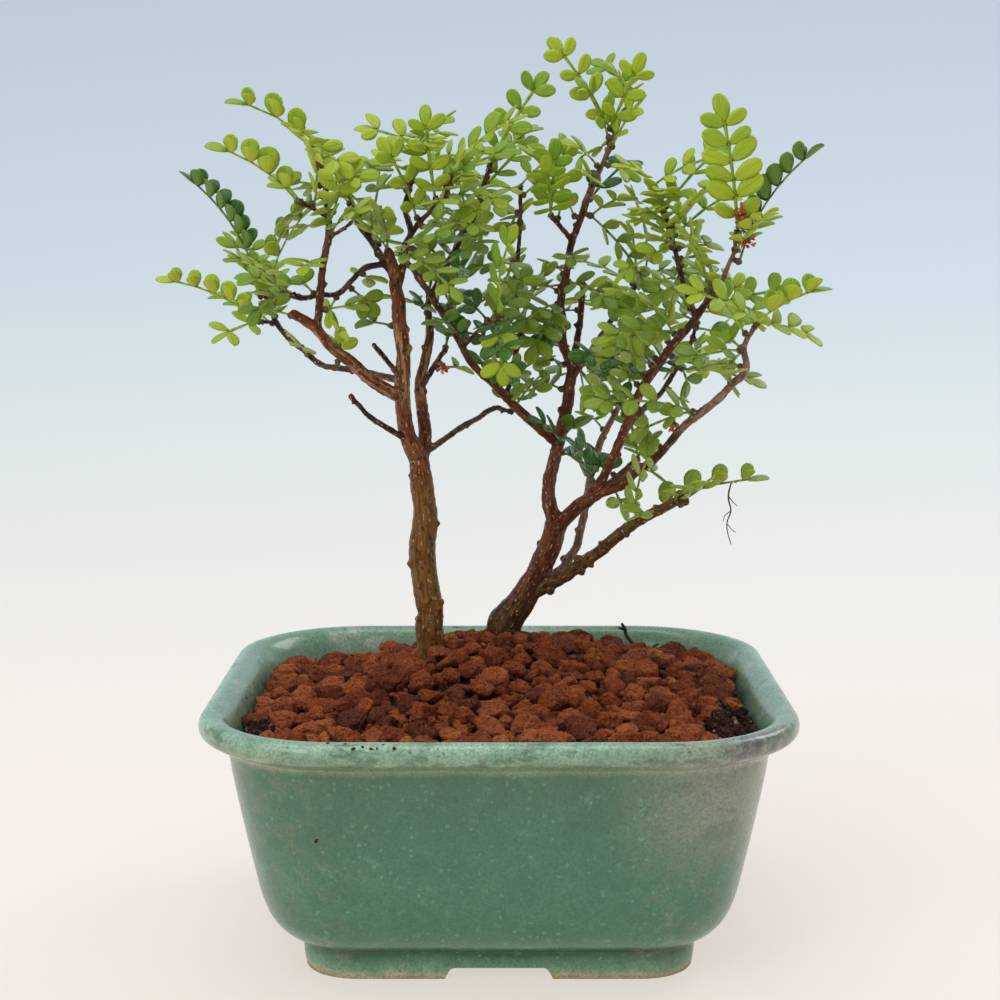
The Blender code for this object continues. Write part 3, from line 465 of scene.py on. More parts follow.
def raised(tree, height, strength, distance):
    """The normal of a surface whose fine relief follows a value, distance metres at most."""
    return add(tree, "Bump", {"Strength": strength, "Distance": distance, "Height": height}).outputs[0]


glaze, tree, shader = finish_of("celadon_glaze")
place = in_millimetres(tree)
where = add(tree, "SeparateXYZ", {0: place})
lay = add(tree, "SeparateXYZ", {0: kept(tree, "glaze_lay", "Vector")})
inside = lay.outputs[0]
cornering = lay.outputs[1]
wander = noise(tree, place, 0.09, 3.0)
level = sum_of(tree, "MULTIPLY_ADD", sum_of(tree, "SUBTRACT", wander, 0.5), 2.6, where.outputs["Z"])
body = ramp(tree, sum_of(tree, "DIVIDE", level, 60.0), [
    (0.0, paint(176, 140, 104)), (0.014, paint(200, 188, 152)), (0.036, paint(136, 176, 144)),
    (0.08, paint(80, 132, 100)), (0.1, paint(34, 70, 46)), (0.118, paint(38, 76, 50)),
    (0.15, paint(72, 126, 96)), (0.4, paint(80, 134, 106)), (0.68, paint(76, 126, 100)),
    (0.81, paint(80, 124, 98)),
    (0.83, paint(154, 160, 132)), (0.85, paint(118, 146, 114)), (0.875, paint(150, 184, 152)),
    (0.9, paint(156, 188, 158)), (0.925, paint(178, 218, 188)), (1.0, paint(170, 212, 184)),
])
cloudy = patchy(tree, place, 0.13, 0.35, 0.68, 5.0, 0.6, 0.6)
body = over(tree, body, cloudy, 0.4, paint(54, 106, 82))
pale = patchy(tree, place, 0.35, 0.55, 0.75, 4.0, 0.6)
body = over(tree, body, pale, 0.35, paint(126, 170, 136))

# The upper right of the front wall is greyer, and dark green shows through it in brushed patches.
right = span(tree, where.outputs["X"], 18.0, 48.0)
upper = span(tree, where.outputs["Z"], 22.0, 40.0)
front = span(tree, where.outputs["Y"], 10.0, -30.0)
grey = times(tree, times(tree, right, upper), front)
body = over(tree, body, grey, 0.75, paint(162, 166, 146))
lip = span(tree, where.outputs["Z"], 51.0, 52.6)
brushed = patchy(tree, stretched(tree, place, (0.6, 0.6, 1.6)), 0.16, 0.53, 0.62, 5.0, 0.7)
shown = sum_of(tree, "MAXIMUM", times(tree, grey, 0.5), times(tree, lip, 0.7))
patches = times(tree, brushed, shown)
body = over(tree, body, patches, 0.75, paint(52, 84, 58))
edging = span(tree, sum_of(tree, "ABSOLUTE", sum_of(tree, "SUBTRACT", level, 52.2)), 0.7, 0.2)
edging = times(tree, edging, patchy(tree, place, 0.22, 0.42, 0.58, 4.0, 0.6))
body = over(tree, body, edging, 0.6, paint(96, 86, 58))

# On the lip at the front right the glaze turned mauve, and at the corners it is thin and pinkish.
spot = add(tree, "VectorMath", {0: place, 1: (52.0, -52.0, 54.0)}, operation="DISTANCE").outputs["Value"]
mauve = times(tree, span(tree, spot, 13.0, 4.0), patchy(tree, place, 0.4, 0.35, 0.6))
body = over(tree, body, mauve, 0.75, paint(104, 84, 104))
thin = times(tree, cornering, patchy(tree, place, 0.25, 0.42, 0.75, 5.0, 0.65))
body = over(tree, body, thin, 0.28, paint(170, 150, 120))
within = blend(tree, patchy(tree, place, 0.12, 0.5, 0.72, 4.0, 0.6),
               paint(132, 172, 142), paint(186, 200, 182))
within = blend(tree, patchy(tree, place, 0.2, 0.6, 0.7, 4.0, 0.6, 1.0), within, paint(62, 104, 84))
body = blend(tree, inside, body, within)
light_dots = specks_at(tree, place, 1.5, 0.3, 0.2)
body = over(tree, body, light_dots, 0.32, paint(140, 194, 162))
grain = patchy(tree, place, 1.7, 0.42, 0.6, 4.0, 0.75)
body = over(tree, body, grain, 0.4, paint(46, 88, 64))
brown_dots = specks_at(tree, place, 1.1, 0.16, 0.2)
body = over(tree, body, brown_dots, 0.5, paint(84, 82, 62))
bare = span(tree, level, 1.6, 0.5)
wet = add(tree, "Mix", {0: bare, 2: 0.2, 3: 0.75}, data_type="FLOAT").outputs[0]
wet = sum_of(tree, "MULTIPLY_ADD", noise(tree, place, 0.6), 0.14, wet)
pits = specks_at(tree, place, 2.3, 0.3, 0.1)
relief = sum_of(tree, "MULTIPLY_ADD", noise(tree, place, 0.22, 3.0), 0.5, times(tree, pits, -0.06))
relief = sum_of(tree, "MULTIPLY_ADD", noise(tree, place, 1.6, 3.0), 0.05, relief)
join(tree, shader, Base_Color=body, Roughness=wet, Normal=raised(tree, relief, 0.35, 0.0012),
     Coat_Weight=span(tree, level, 8.0, 10.0, 0.0, 0.25))
shader.inputs["Coat Roughness"].default_value = 0.08
pot.data.materials.append(glaze)
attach(pot, "root")
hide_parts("pot")


# The drain mesh is a square of coarse black plastic net that lies over the hole in the pot's floor.
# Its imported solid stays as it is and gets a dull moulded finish.
net_finish, tree, shader = finish_of("black_net_plastic")
place = in_millimetres(tree)
worn = patchy(tree, place, 0.8, 0.45, 0.7)
join(tree, shader, Base_Color=blend(tree, worn, paint(24, 24, 25), paint(52, 48, 44)),
     Roughness=span(tree, worn, 0.0, 1.0, 0.45, 0.7),
     Normal=raised(tree, noise(tree, place, 4.0), 0.3, 0.0002))
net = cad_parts["drain_mesh"]
net.data.materials.clear()
net.data.materials.append(net_finish)


# The bed is dark moist soil that fills the pot to just under its top layer. It is heaped round the stems,
# and it shows between the lumps above it and in the corners. In the corners its darkness is the soil's own;
# between the lumps it is painted shade.
SOIL_EDGE_Z = 50.3
# Each swell of the heap is the x and y of its middle, its rise and its spread along x and y.
SOIL_SWELLS = ((-3, 24, 9.6, 15, 19), (26, 24, 5.2, 17, 18), (-17, 4, 5.6, 12, 11),
               (54, 2, 2.8, 7, 22), (-54, 4, 2.8, 7, 22))
SOIL_PEAK = (-3.0, 25.0)
BED_DEPTH = 2.4
BED_BOTTOM = 10.6


def soil_height(x, y):
    rise = sum(high * math.exp(-0.5 * (((x - cx) / wide) ** 2 + ((y - cy) / deep) ** 2))
               for cx, cy, high, wide, deep in SOIL_SWELLS)
    return SOIL_EDGE_Z + rise


wall = [(half - 0.35, height) for half, height in reversed(POT_SECTION[LIP_INNER_STATION:])]
wall = [(half, height) for half, height in wall if BED_BOTTOM < height < SOIL_EDGE_Z - BED_DEPTH]
wall.append((55.3, SOIL_EDGE_Z - BED_DEPTH))
rings = [rounded_ring(half, height, 8, 4) for half, height in wall]
edge_ring = rings[-1]
for share in np.linspace(0.95, 0.05, 19):
    rings.append([Vector((p.x * share, p.y * share, soil_height(p.x * share, p.y * share) - BED_DEPTH))
                  for p in edge_ring])
bed = skin("soil_bed", rings)
modify(bed, "rounded", "SUBSURF", levels=1, render_levels=1)
settle(bed)
bpy.ops.object.shade_smooth()

earth, tree, shader = finish_of("soil_and_gap_shade")
place = in_millimetres(tree)
bits = specks_at(tree, place, 0.9, 0.25, 0.3)
# Painted shade: the bed's dark browns also stand for the shade in the gaps between the lumps.
ground = blend(tree, patchy(tree, place, 0.9, 0.35, 0.7), paint(26, 17, 14), paint(58, 34, 25))
ground = blend(tree, bits, ground, paint(128, 96, 72))
lumpy = sum_of(tree, "MULTIPLY_ADD", noise(tree, place, 1.1, 6.0, 0.7), 1.0, bits)
join(tree, shader, Base_Color=ground, Normal=raised(tree, lumpy, 0.9, 0.0012))
shader.inputs["Roughness"].default_value = 0.95
bed.data.materials.append(earth)
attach(bed, "root")
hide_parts("soil")


# The top layer is fired clay granulate, broken reddish-brown lumps of 3 to 9 mm with rough porous faces.
# They lie loose and crowded, a few paler and more orange than the rest.
LUMP_SHAPES = 9
LUMP_FLATS = 8
LUMP_EDGE_HALF = 54.2
LUMP_SHARP_EDGE = 15
SMALL_LUMP = 1.9
SMALL_LUMP_FACES = 0.25
# Big lumps stay clear of the heap's peak, and each keeps this share of its size from the next.
BIG_LUMP = 2.4
PEAK_CLEAR = 18.0
LUMP_ROOM = 0.85
# The lumps are thrown over this half width and depth, and each is drawn this much larger than its size.
THROWN_OVER = (54, 51)
LUMP_FULLNESS = 1.3
LOW_LAYER = (620, -2.5, 1.4, 2.4)
TOP_LAYER = (500, -1.2, 1.2, 4.0)
CRUMBS = (460, -1.4, 0.4, 1.1)
HUMUS = ((50.5, -26.0, 6.0, 12.0), (-52.5, -31.0, 4.5, 7.0))
HUMUS_CRUMBS = 210

draw = random.Random(31)
pitted = bpy.data.textures.new("pitted_clay", "CLOUDS")
pitted.noise_scale = 0.3
pitted.noise_depth = 4
lump_shapes = []
for shape in range(LUMP_SHAPES):
    bpy.ops.object.select_all(action="DESELECT")
    bpy.ops.mesh.primitive_ico_sphere_add(subdivisions=3, radius=1.0)
    lump = bpy.context.object
    bpy.ops.object.mode_set(mode="EDIT")
    for flat_side in range(LUMP_FLATS):
        way = Vector(draw.gauss(0, 1) for _ in range(3)).normalized()
        bpy.ops.mesh.select_all(action="SELECT")
        bpy.ops.mesh.bisect(plane_co=way * draw.uniform(0.42, 0.7), plane_no=way, use_fill=True,
                            clear_outer=True)
    bpy.ops.mesh.select_all(action="SELECT")
    bpy.ops.mesh.remove_doubles(threshold=0.05)
    bpy.ops.object.mode_set(mode="OBJECT")
    modify(lump, "even_skin", "REMESH", mode="VOXEL", voxel_size=0.13)
    modify(lump, "pits", "DISPLACE", texture=pitted, texture_coords="LOCAL", strength=0.32, mid_level=0.5)
    modify(lump, "fewer_faces", "DECIMATE", ratio=0.32)
    settle(lump)
    grades = []
    for share in (1.0, SMALL_LUMP_FACES):
        modify(lump, "fewer_faces", "DECIMATE", ratio=share)
        settle(lump)
        bpy.ops.object.mode_set(mode="EDIT")
        bpy.ops.mesh.select_all(action="SELECT")
        bpy.ops.mesh.quads_convert_to_tris()
        bpy.ops.object.mode_set(mode="OBJECT")
        grades.append((points_of(lump), np.array(faces_of(lump))))
    lump_shapes.append(grades)
    bpy.data.objects.remove(lump, do_unlink=True)


def within_pot(x, y, half):
    """Whether a spot lies inside the rounded rectangle of the pot's mouth."""
    half_y = half - (RIM_HALF_X - RIM_HALF_Y)
    radius = RIM_CORNER - (RIM_HALF_X - half) * CORNER_TAPER
    dx, dy = max(0.0, abs(x) - half + radius), max(0.0, abs(y) - half_y + radius)
    return math.hypot(dx, dy) < radius


STEM_FEET = ((-16.0, 12.0, 3.3), (1.2, 27.0, 4.3))
placed = []
for count, lift, smallest, largest in (LOW_LAYER, TOP_LAYER, CRUMBS):
    laid = []
    sizes = sorted((draw.triangular(smallest, largest, smallest * 1.25) for _ in range(count)), reverse=True)
    for size in sizes:
        for attempt in range(30):
            x, y = [draw.uniform(-half, half) for half in THROWN_OVER]
            if not within_pot(x, y, LUMP_EDGE_HALF - 0.5 * size):
                continue
            if size > 1.0 and any(math.hypot((x - hx) / half_x, (y - hy) / half_y) < 1
                                  for hx, hy, half_x, half_y in HUMUS):
                continue
            if size > BIG_LUMP and math.dist((x, y), SOIL_PEAK) < PEAK_CLEAR:
                continue
            if any(math.hypot(x - fx, y - fy) < radius + 0.6 * size for fx, fy, radius in STEM_FEET):
                continue
            if any(math.hypot(x - ox, y - oy) < LUMP_ROOM * (size + other) for ox, oy, other in laid):
                continue
            laid.append((x, y, size))
            placed.append((x, y, soil_height(x, y) + lift + draw.uniform(-0.4, 0.4) + 0.15 * size, size))
            break

placed = [(*lump, draw.uniform(0.06, 0.98)) for lump in placed]
# Near two corners the clay thins out, and fine dark humus with a few pale bits lies there.
for number in range(HUMUS_CRUMBS):
    hx, hy, half_x, half_y = HUMUS[number % 4 == 0]
    turn, away = draw.uniform(0, 6.28), math.sqrt(draw.random())
    x, y = hx + half_x * away * math.cos(turn), hy + half_y * away * math.sin(turn)
    if within_pot(x, y, LUMP_EDGE_HALF):
        pale = draw.random() > 0.9
        placed.append((x, y, soil_height(x, y) + draw.uniform(-0.3, 0.9),
                       draw.uniform(0.4, 0.7 if pale else 1.4), 1.0 if pale else 0.0))


def made_of(name, points, faces, margin=0.0):
    """A piece from points in millimetres round the pot's middle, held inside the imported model's box."""
    spots = np.concatenate(points) * MM + np.array((POT_X, POT_Y, 0))
    spots = np.clip(spots, np.array(cad_box[0]) + margin, np.array(cad_box[1]) - margin)
    mesh = bpy.data.meshes.new(name)
    mesh.from_pydata(spots.tolist(), [], faces)
    return put_in(name, mesh)


# The lumps go into two pieces, front and back of the pot's middle, with one tint for each lump
# and painted shade that darkens the lower part of each lump.
lump_pieces = []
for part, mine in (("front", [lump for lump in placed if lump[1] < 0]),
                   ("back", [lump for lump in placed if lump[1] >= 0])):
    points, faces, tints, lump_underside_shade = [], [], [], []
    for x, y, z, size, own in mine:
        shape_points, shape_faces = draw.choice(lump_shapes)[size < SMALL_LUMP]
        turn = Matrix.Rotation(draw.uniform(0, 6.28), 3, Vector(draw.gauss(0, 1) for _ in range(3)))
        stretch = Matrix.Diagonal((draw.uniform(0.95, 1.4), draw.uniform(0.85, 1.1), draw.uniform(0.7, 1.0)))
        form = np.array(Matrix.Rotation(draw.uniform(0, 6.28), 3, "Z") @ stretch @ turn)
        form *= size * LUMP_FULLNESS
        spot = shape_points @ form.T + np.array((x, y, z))
        faces.append(shape_faces + sum(len(p) for p in points))
        points.append(spot)
        tints.append(np.full(len(spot), own))
        # Painted shade: the lower part of each lump is darker, down to its underside.
        lump_underside_shade.append(np.clip(0.36 - 1.0 * (spot[:, 2] - z) / size, 0, 1))
    lumps = made_of("clay_lumps_" + part, points, np.concatenate(faces).tolist())
    mark(lumps, "tint", np.concatenate(tints))
    mark(lumps, "lump_underside_shade", np.concatenate(lump_underside_shade))
    work_on(lumps)
    bpy.ops.object.shade_smooth_by_angle(angle=math.radians(LUMP_SHARP_EDGE))
    lump_pieces.append(lumps)

clay, tree, shader = finish_of("fired_clay_lumps")
place = in_millimetres(tree)
each = kept(tree, "tint")
own = ramp(tree, each, [
    (0.0, paint(62, 40, 30)), (0.03, paint(62, 40, 30)), (0.05, paint(132, 68, 48)),
    (0.2, paint(172, 86, 50)), (0.4, paint(202, 102, 58)), (0.9, paint(240, 132, 76)),
    (0.95, paint(250, 156, 78)), (0.99, paint(250, 176, 96)), (1.0, paint(214, 186, 150)),
])
crust = patchy(tree, place, 0.8, 0.42, 0.66, 5.0, 0.75)
own = over(tree, own, crust, 0.6, paint(66, 32, 24))
dusty = patchy(tree, place, 1.3, 0.52, 0.7, 5.0, 0.7)
own = over(tree, own, dusty, 0.6, paint(226, 148, 108))
grit = specks_at(tree, place, 0.5, 0.3, 0.3)
own = over(tree, own, grit, 0.45, paint(196, 128, 92))
pores = specks_at(tree, place, 0.62, 0.45, 0.28)
own = over(tree, own, pores, 0.6, paint(48, 22, 16))
# Painted shade darkens the lower part of each lump, towards the gaps between them.
lump_underside_shade = kept(tree, "lump_underside_shade")
own = over(tree, own, lump_underside_shade, 0.92, paint(34, 14, 10))
rough = sum_of(tree, "MULTIPLY_ADD", noise(tree, place, 0.9, 8.0, 0.8), 1.8, times(tree, pores, -0.7))
join(tree, shader, Base_Color=own, Normal=raised(tree, rough, 1.0, 0.0011))
shader.inputs["Roughness"].default_value = 0.95
shader.inputs["Specular IOR Level"].default_value = 0.2
for lumps in lump_pieces:
    lumps.data.materials.append(clay)
    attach(lumps, "root")
    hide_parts("soil")


# The two stems are living wood with thin bark, grown as one with their branches. The left one is olive, the
# right one redder. Each is drawn limb by limb, closed over into one skin with swollen forks, and roughened.
# A limb is a route of (x, y, z, radius) in millimetres, with its first point sunk in what it grows from.
LEFT_STEMS = {
    "trunk": [
        (-16, 12, 47, 3.3), (-16, 12, 62.5, 3.3), (-16.3, 11.4, 66, 3.3), (-16.4, 11, 72, 3.2),
        (-17.6, 11, 80.5, 3.1), (-17, 10, 90.5, 3.0), (-17.7, 9, 99, 2.8), (-18.3, 8, 105, 2.3),
        (-21, 8, 111.5, 1.9), (-21.8, 7, 118, 1.8), (-21.7, 6, 126, 1.8), (-21.9, 6, 133, 1.7),
        (-22.6, 5, 142, 1.6), (-23.2, 4.6, 147, 1.4), (-24.5, 3, 152, 1.1),
    ],
    "leader": [
        (-22.9, 5, 144, 1.0), (-21.7, 5, 148, 0.9), (-20.9, 4, 153.7, 0.9), (-19.6, 4, 156.5, 0.8),
        (-21, 6, 161.8, 0.7), (-19.7, 7, 167.4, 0.6), (-18.5, 9, 175, 0.5),
    ],
    "leader_fork": [
        (-19.7, 4.2, 156.2, 0.7), (-17.1, 3, 159.4, 0.7), (-12.4, 1, 164, 0.6), (-11, -1, 168, 0.5),
    ],
    "back_stem": [
        (-17.9, 8.8, 101, 1.8), (-17.1, 14, 110.6, 1.6), (-18.4, 18, 122, 1.3), (-16.1, 20, 133.6, 1.1),
        (-16.6, 22, 140, 0.9), (-11.5, 24, 150.5, 0.8), (-5.6, 22, 160.7, 0.7), (-2.3, 20, 171.5, 0.6),
    ],
    "back_stem_side": [
        (-18.3, 17.6, 120.5, 0.8), (-14, 14, 127.7, 0.7), (-12.4, 12, 130, 0.6),
    ],
    "left_arm": [
        (-21.8, 6.8, 119.5, 1.6), (-28.7, 2, 124, 1.5), (-37.2, -4, 132, 1.3), (-40.4, -7, 136.2, 1.2),
        (-44.2, -10, 139, 1.1),
    ],
    "left_riser": [
        (-39.7, -6.6, 135.8, 1.0), (-39.1, -6, 142.5, 1.0), (-37.7, -5, 153.3, 0.9), (-37.1, -4, 156, 0.9),
        (-38.2, 0, 167, 0.7), (-41.3, 3, 175, 0.6),
    ],
    "left_riser_twig": [
        (-37.7, -2.2, 160, 0.6), (-41, -6, 162, 0.5), (-42.8, -9, 163, 0.45),
    ],
    "left_riser_spur": [
        (-37.9, -5, 151.5, 0.5), (-39.6, -9, 150.3, 0.45),
    ],
    "left_riser_back": [
        (-37.4, -4, 155, 0.6), (-35, 0, 157, 0.5), (-32.7, 4, 159, 0.45),
    ],
    "upper_left": [
        (-23, 4.8, 145, 1.0), (-25.7, 8, 150, 0.9), (-32.5, 14, 159.5, 0.7), (-34.1, 17, 164.7, 0.5),
    ],
    "drooping_left": [
        (-25.4, 7.6, 149.6, 0.8), (-30, 8, 148.8, 0.8), (-35.9, 6.5, 143.2, 0.7), (-43.8, 0, 142.3, 0.7),
        (-46.7, -2, 143.2, 0.6),
    ],
    "far_left": [
        (-21.8, 6.4, 123.5, 1.0), (-32.3, 19, 124.8, 0.8), (-42.3, 26, 126, 0.8), (-49.8, 29, 131.7, 0.7),
        (-53, 30, 135.7, 0.7), (-56, 32, 142.5, 0.6), (-57.7, 33, 146.5, 0.5),
    ],
    "far_left_tip": [
        (-52.8, 30, 135.5, 0.6), (-55.8, 28, 135.8, 0.5),
    ],
    "bare_left": [
        (-20.2, 8, 109.4, 0.8), (-29, 2, 115.7, 0.7), (-32.7, -4, 120.7, 0.6),
    ],
    "left_stub": [
        (-21.8, 6.2, 123.5, 0.8), (-27.8, 1, 131.8, 0.6),
    ],
    "low_right_twig": [
        (-17.2, 10, 106.5, 0.9), (-8.7, 22, 111.5, 0.8), (-1, 30, 115.2, 0.7), (2.4, 33, 114.2, 0.6),
    ],
}
RIGHT_STEMS = {
    "trunk": [
        (1.2, 27, 47, 4.3), (1.2, 27, 63, 4.3), (2.6, 26.4, 65.5, 3.9), (5.2, 25, 69, 3.4),
        (9.2, 23, 76.2, 2.9), (12.3, 21, 84, 2.8), (13.3, 20.2, 88.3, 2.5),
    ],
    "leader": [
        (13.2, 20.2, 87.8, 2.0), (11.8, 20, 93.5, 1.9), (11.9, 20.4, 99.5, 1.7), (13.4, 21, 105.5, 1.6),
        (16.2, 22, 117.6, 1.5), (17.3, 22, 124.9, 1.4),
    ],
    "leader_high": [
        (17.2, 22, 124.4, 1.2), (14.6, 19, 131.8, 1.2), (14.2, 16, 141.3, 1.0), (16.6, 13, 154.8, 0.9),
        (19.9, 12, 164.2, 0.9), (24, 14, 173.2, 0.7), (27.9, 16, 183.5, 0.6), (31.8, 18, 188, 0.5),
    ],
    "leader_twig": [
        (16.4, 13.1, 155, 0.7), (12.1, 8, 159.9, 0.6),
    ],
    "back_riser": [
        (17.3, 22, 124.2, 1.1), (18.5, 25, 132.6, 0.9), (19.3, 27, 138.4, 0.9), (19.8, 29, 143.8, 0.7),
    ],
    "back_right": [
        (17.3, 22, 123.8, 1.1), (24, 31, 131.9, 0.8), (29.4, 38, 139.5, 0.7), (35, 43, 146.3, 0.6),
    ],
    "cross_arm": [
        (13.9, 21.2, 107.4, 1.3), (4.6, 15, 116.1, 1.2), (-6.4, 7, 127.7, 0.9), (-10.7, 3, 136.2, 0.9),
        (-15.7, -2, 143.9, 0.8), (-18.8, -4, 148.5, 0.7), (-20.7, -5, 151.1, 0.5),
    ],
    "cross_riser": [
        (1.3, 12.6, 119.2, 0.7), (3.2, 17, 124.7, 0.7), (4.9, 24, 132.7, 0.7), (3.9, 22, 145.8, 0.6),
        (4.8, 18, 157.3, 0.6), (4.8, 16, 166.3, 0.5),
    ],
    "cross_twig": [
        (-8.2, 5.4, 131, 0.6), (-4, 0, 135.7, 0.5), (0, -6, 138.1, 0.45),
    ],
    "right_arm": [
        (13.3, 20.2, 87.8, 2.1), (19.1, 16, 94, 1.8), (22, 13, 96.8, 1.7),
    ],
    "right_leader": [
        (21.8, 13.1, 96.6, 1.4), (25.1, 9, 103.8, 1.2), (27.4, 6, 109.8, 1.2), (31.8, 2, 121.7, 1.1),
        (38.2, -2, 131.8, 1.0), (43.3, -5, 138.5, 0.9), (46.1, -7, 143.6, 0.8), (48.3, -8, 146.4, 0.7),
        (50.7, -8, 151.9, 0.6), (51.3, -8, 155.8, 0.5),
    ],
    "right_mass": [
        (43.1, -4.9, 138.3, 0.8), (40.3, 4, 148.4, 0.7), (37.9, 8, 158.3, 0.6), (35.1, 10, 166.1, 0.5),
    ],
    "right_back": [
        (28.6, 5, 112.6, 0.9), (32.5, 11, 116, 0.8), (38, 20, 119.9, 0.7), (44.7, 28, 128.9, 0.6),
        (46.9, 31, 134.7, 0.5),
    ],
    "cut_stub": [
        (22.2, 12.9, 96.8, 1.1), (27, 17, 99.5, 1.0), (32.2, 22, 103.4, 0.9),
    ],
    "low_arm": [
        (21.8, 13.1, 96.4, 1.5), (28, 10, 99.3, 1.3), (34.5, 3, 105.6, 1.1), (40.5, -4, 113.8, 1.0),
        (47.1, -11, 120.4, 1.0), (52.7, -17, 127.7, 0.9), (52.1, -18, 132.5, 0.7), (53.9, -20, 136.6, 0.6),
    ],
    "lowest": [
        (6.5, 24.4, 71, 1.9), (11.6, 21.2, 74.2, 1.8), (15.5, 18.5, 76.6, 1.7), (23.3, 11, 83.7, 1.5),
        (31, 1, 92, 1.3), (37.1, -6.5, 96.6, 1.15), (39.6, -9, 98.6, 1.0),
    ],
    "grey_stem": [
        (10.6, 22.8, 75, 1.4), (15.5, 26, 77.2, 1.3), (18.4, 28.6, 81.5, 1.1), (20.6, 32, 89.5, 1.0),
        (22.3, 35, 99.5, 1.0), (25.2, 38, 107.5, 0.9), (30.5, 41, 117, 0.7),
    ],
}
STEM_KNOBS = {
    "trunk_left": [
        (-10, 7, 71.9, 1.1), (-11.5, 7, 70.6, 0.8), (-24, 9, 81, 0.9), (-10, 9, 90.1, 0.75),
        (-22, 7, 67.9, 0.8), (-24, 9, 101.2, 0.6), (-17, 0, 72.4, 0.8), (-18, 0, 84.2, 0.6),
        (-19.5, 0, 101, 0.9), (-16.6, 0, 107, 0.8), (-23, 2, 119.4, 1.0), (-16, 22, 92, 0.8),
        (-24, 16, 75, 0.7),
    ],
    "trunk_right": [
        (-4, 24, 64.6, 0.8), (12.8, 18, 69, 1.1), (19.5, 12, 76, 1.1), (14.5, 13, 84.4, 1.1),
        (20.5, 10, 94, 1.0), (8, 24, 84.5, 0.9), (4, 18, 70, 0.8), (12, 14, 104, 0.9), (12, 30, 80, 0.9),
        (39.6, -9.6, 99.3, 1.25), (40.6, -9.2, 98.2, 1.15), (29, 3, 89.6, 0.9),
    ],
}
# Buds stand this far apart on limbs thinner and higher than these.
BUD_EVERY = 5.5
BUDLESS_RADIUS = 1.9
BUDLESS_HEIGHT = 70
BARK_VOXEL = 0.0002938


def grow_limb(name, route, thickest):
    """One limb as a smooth round curve through its route, made a closed mesh."""
    curve = bpy.data.curves.new(name, "CURVE")
    curve.dimensions = "3D"
    curve.bevel_depth = MM
    curve.bevel_resolution = 4 if thickest > 2.5 else 2
    curve.use_fill_caps = True
    curve.resolution_u = 6
    line = curve.splines.new("BEZIER")
    line.bezier_points.add(len(route) - 1)
    for point, step in zip(line.bezier_points, route):
        point.co = to_frame(step)
        point.radius = step[3]
        point.handle_left_type = point.handle_right_type = "AUTO"
    work_on(put_in(name, curve))
    bpy.ops.object.convert(target="MESH")
    return bpy.context.object


def place_bud(spot, radius, stretch, way):
    """A small swelling of the bark, such as a bud, a scar or a knot."""
    bpy.ops.object.select_all(action="DESELECT")
    bpy.ops.mesh.primitive_ico_sphere_add(subdivisions=2, radius=radius * MM)
    bud = bpy.context.object
    turn = Vector(way).to_track_quat("Z", "Y").to_matrix().to_4x4()
    bud.data.transform(Matrix.Translation(to_frame(spot)) @ turn @ Matrix.Diagonal((1, 1, stretch, 1)))
    return bud


class Limb:
    """A stretch of stem between two points of a route, on which knobs and buds sit."""

    def __init__(self, a, b):
        self.a = Vector(a[:3])
        self.b = Vector(b[:3])
        self.radii = (a[3], b[3])

    def nearest(self, point):
        along = self.b - self.a
        share = max(0.0, min(1.0, (point - self.a).dot(along) / along.length_squared))
        spot = self.a + along * share
        radius = self.radii[0] + (self.radii[1] - self.radii[0]) * share
        return (point - spot).length, spot, radius, along.normalized()


limbs_all = [Limb(a, b) for stems in (LEFT_STEMS, RIGHT_STEMS) for route in stems.values()
             for a, b in zip(route, route[1:])]


def on_limb(point):
    """The nearest spot inside a limb, the limb's radius there and the way it runs."""
    return min((limb.nearest(point) for limb in limbs_all), key=lambda found: found[0])[1:]


def joined(parts, name):
    """Several pieces made one, under one name."""
    bpy.ops.object.select_all(action="DESELECT")
    for part in parts:
        part.select_set(True)
    bpy.context.view_layer.objects.active = parts[0]
    bpy.ops.object.join()
    bpy.context.object.name = name
    return bpy.context.object


draw = random.Random(5)
stem_pieces = {}
for name, stems in (("trunk_left", LEFT_STEMS), ("trunk_right", RIGHT_STEMS)):
    limbs = []
    for limb, route in stems.items():
        waved = [route[0]]
        for a, b in zip(route, route[1:]):
            bow = 0.14 * min(a[3], b[3]) + 0.06
            mid = [(p + q) / 2 + (draw.uniform(-bow, bow) if k < 3 else 0)
                   for k, (p, q) in enumerate(zip(a, b))]
            mid[3] *= draw.uniform(0.9, 1.04)
            waved += [tuple(mid), b] if math.dist(a[:3], b[:3]) > 5 else [b]
        limbs.append(grow_limb(limb, waved, route[0][3]))
        for a, b in zip(route[1:], route[2:]):
            if a[3] > BUDLESS_RADIUS or a[2] < BUDLESS_HEIGHT:
                continue
            stretch = Vector(b[:3]) - Vector(a[:3])
            buds = max(1, int(stretch.length / BUD_EVERY))
            for step in range(buds):
                share = (step + draw.uniform(0.2, 0.8)) / buds
                radius = a[3] + (b[3] - a[3]) * share
                side = stretch.orthogonal().normalized()
                side.rotate(Matrix.Rotation(draw.uniform(0, 6.28), 3, stretch))
                spot = Vector(a[:3]).lerp(Vector(b[:3]), share) + side * radius * 0.8
                limbs.append(place_bud(spot, 0.36 * radius + 0.24, 1.5, side + 0.9 * stretch.normalized()))
        tip = Vector(route[-1][:3]) - Vector(route[-2][:3])
        limbs.append(place_bud(route[-1][:3], route[-1][3] * 1.12, 1.15, tip))
    for x, y, z, radius in STEM_KNOBS[name]:
        spot, girth, along = on_limb(Vector((x, y, z)))
        out = (Vector((x, y, z)) - spot).normalized()
        limbs.append(place_bud(spot + out * (0.85 * girth + 0.3 * radius), radius, 1.15, out + 0.4 * along))
    stem = joined(limbs, "stem_" + name.split("_")[1])
    modify(stem, "one_skin", "REMESH", mode="VOXEL", voxel_size=BARK_VOXEL)
    modify(stem, "swollen_forks", "SMOOTH", factor=0.5, iterations=5)
    settle(stem)
    stem_pieces[name] = stem

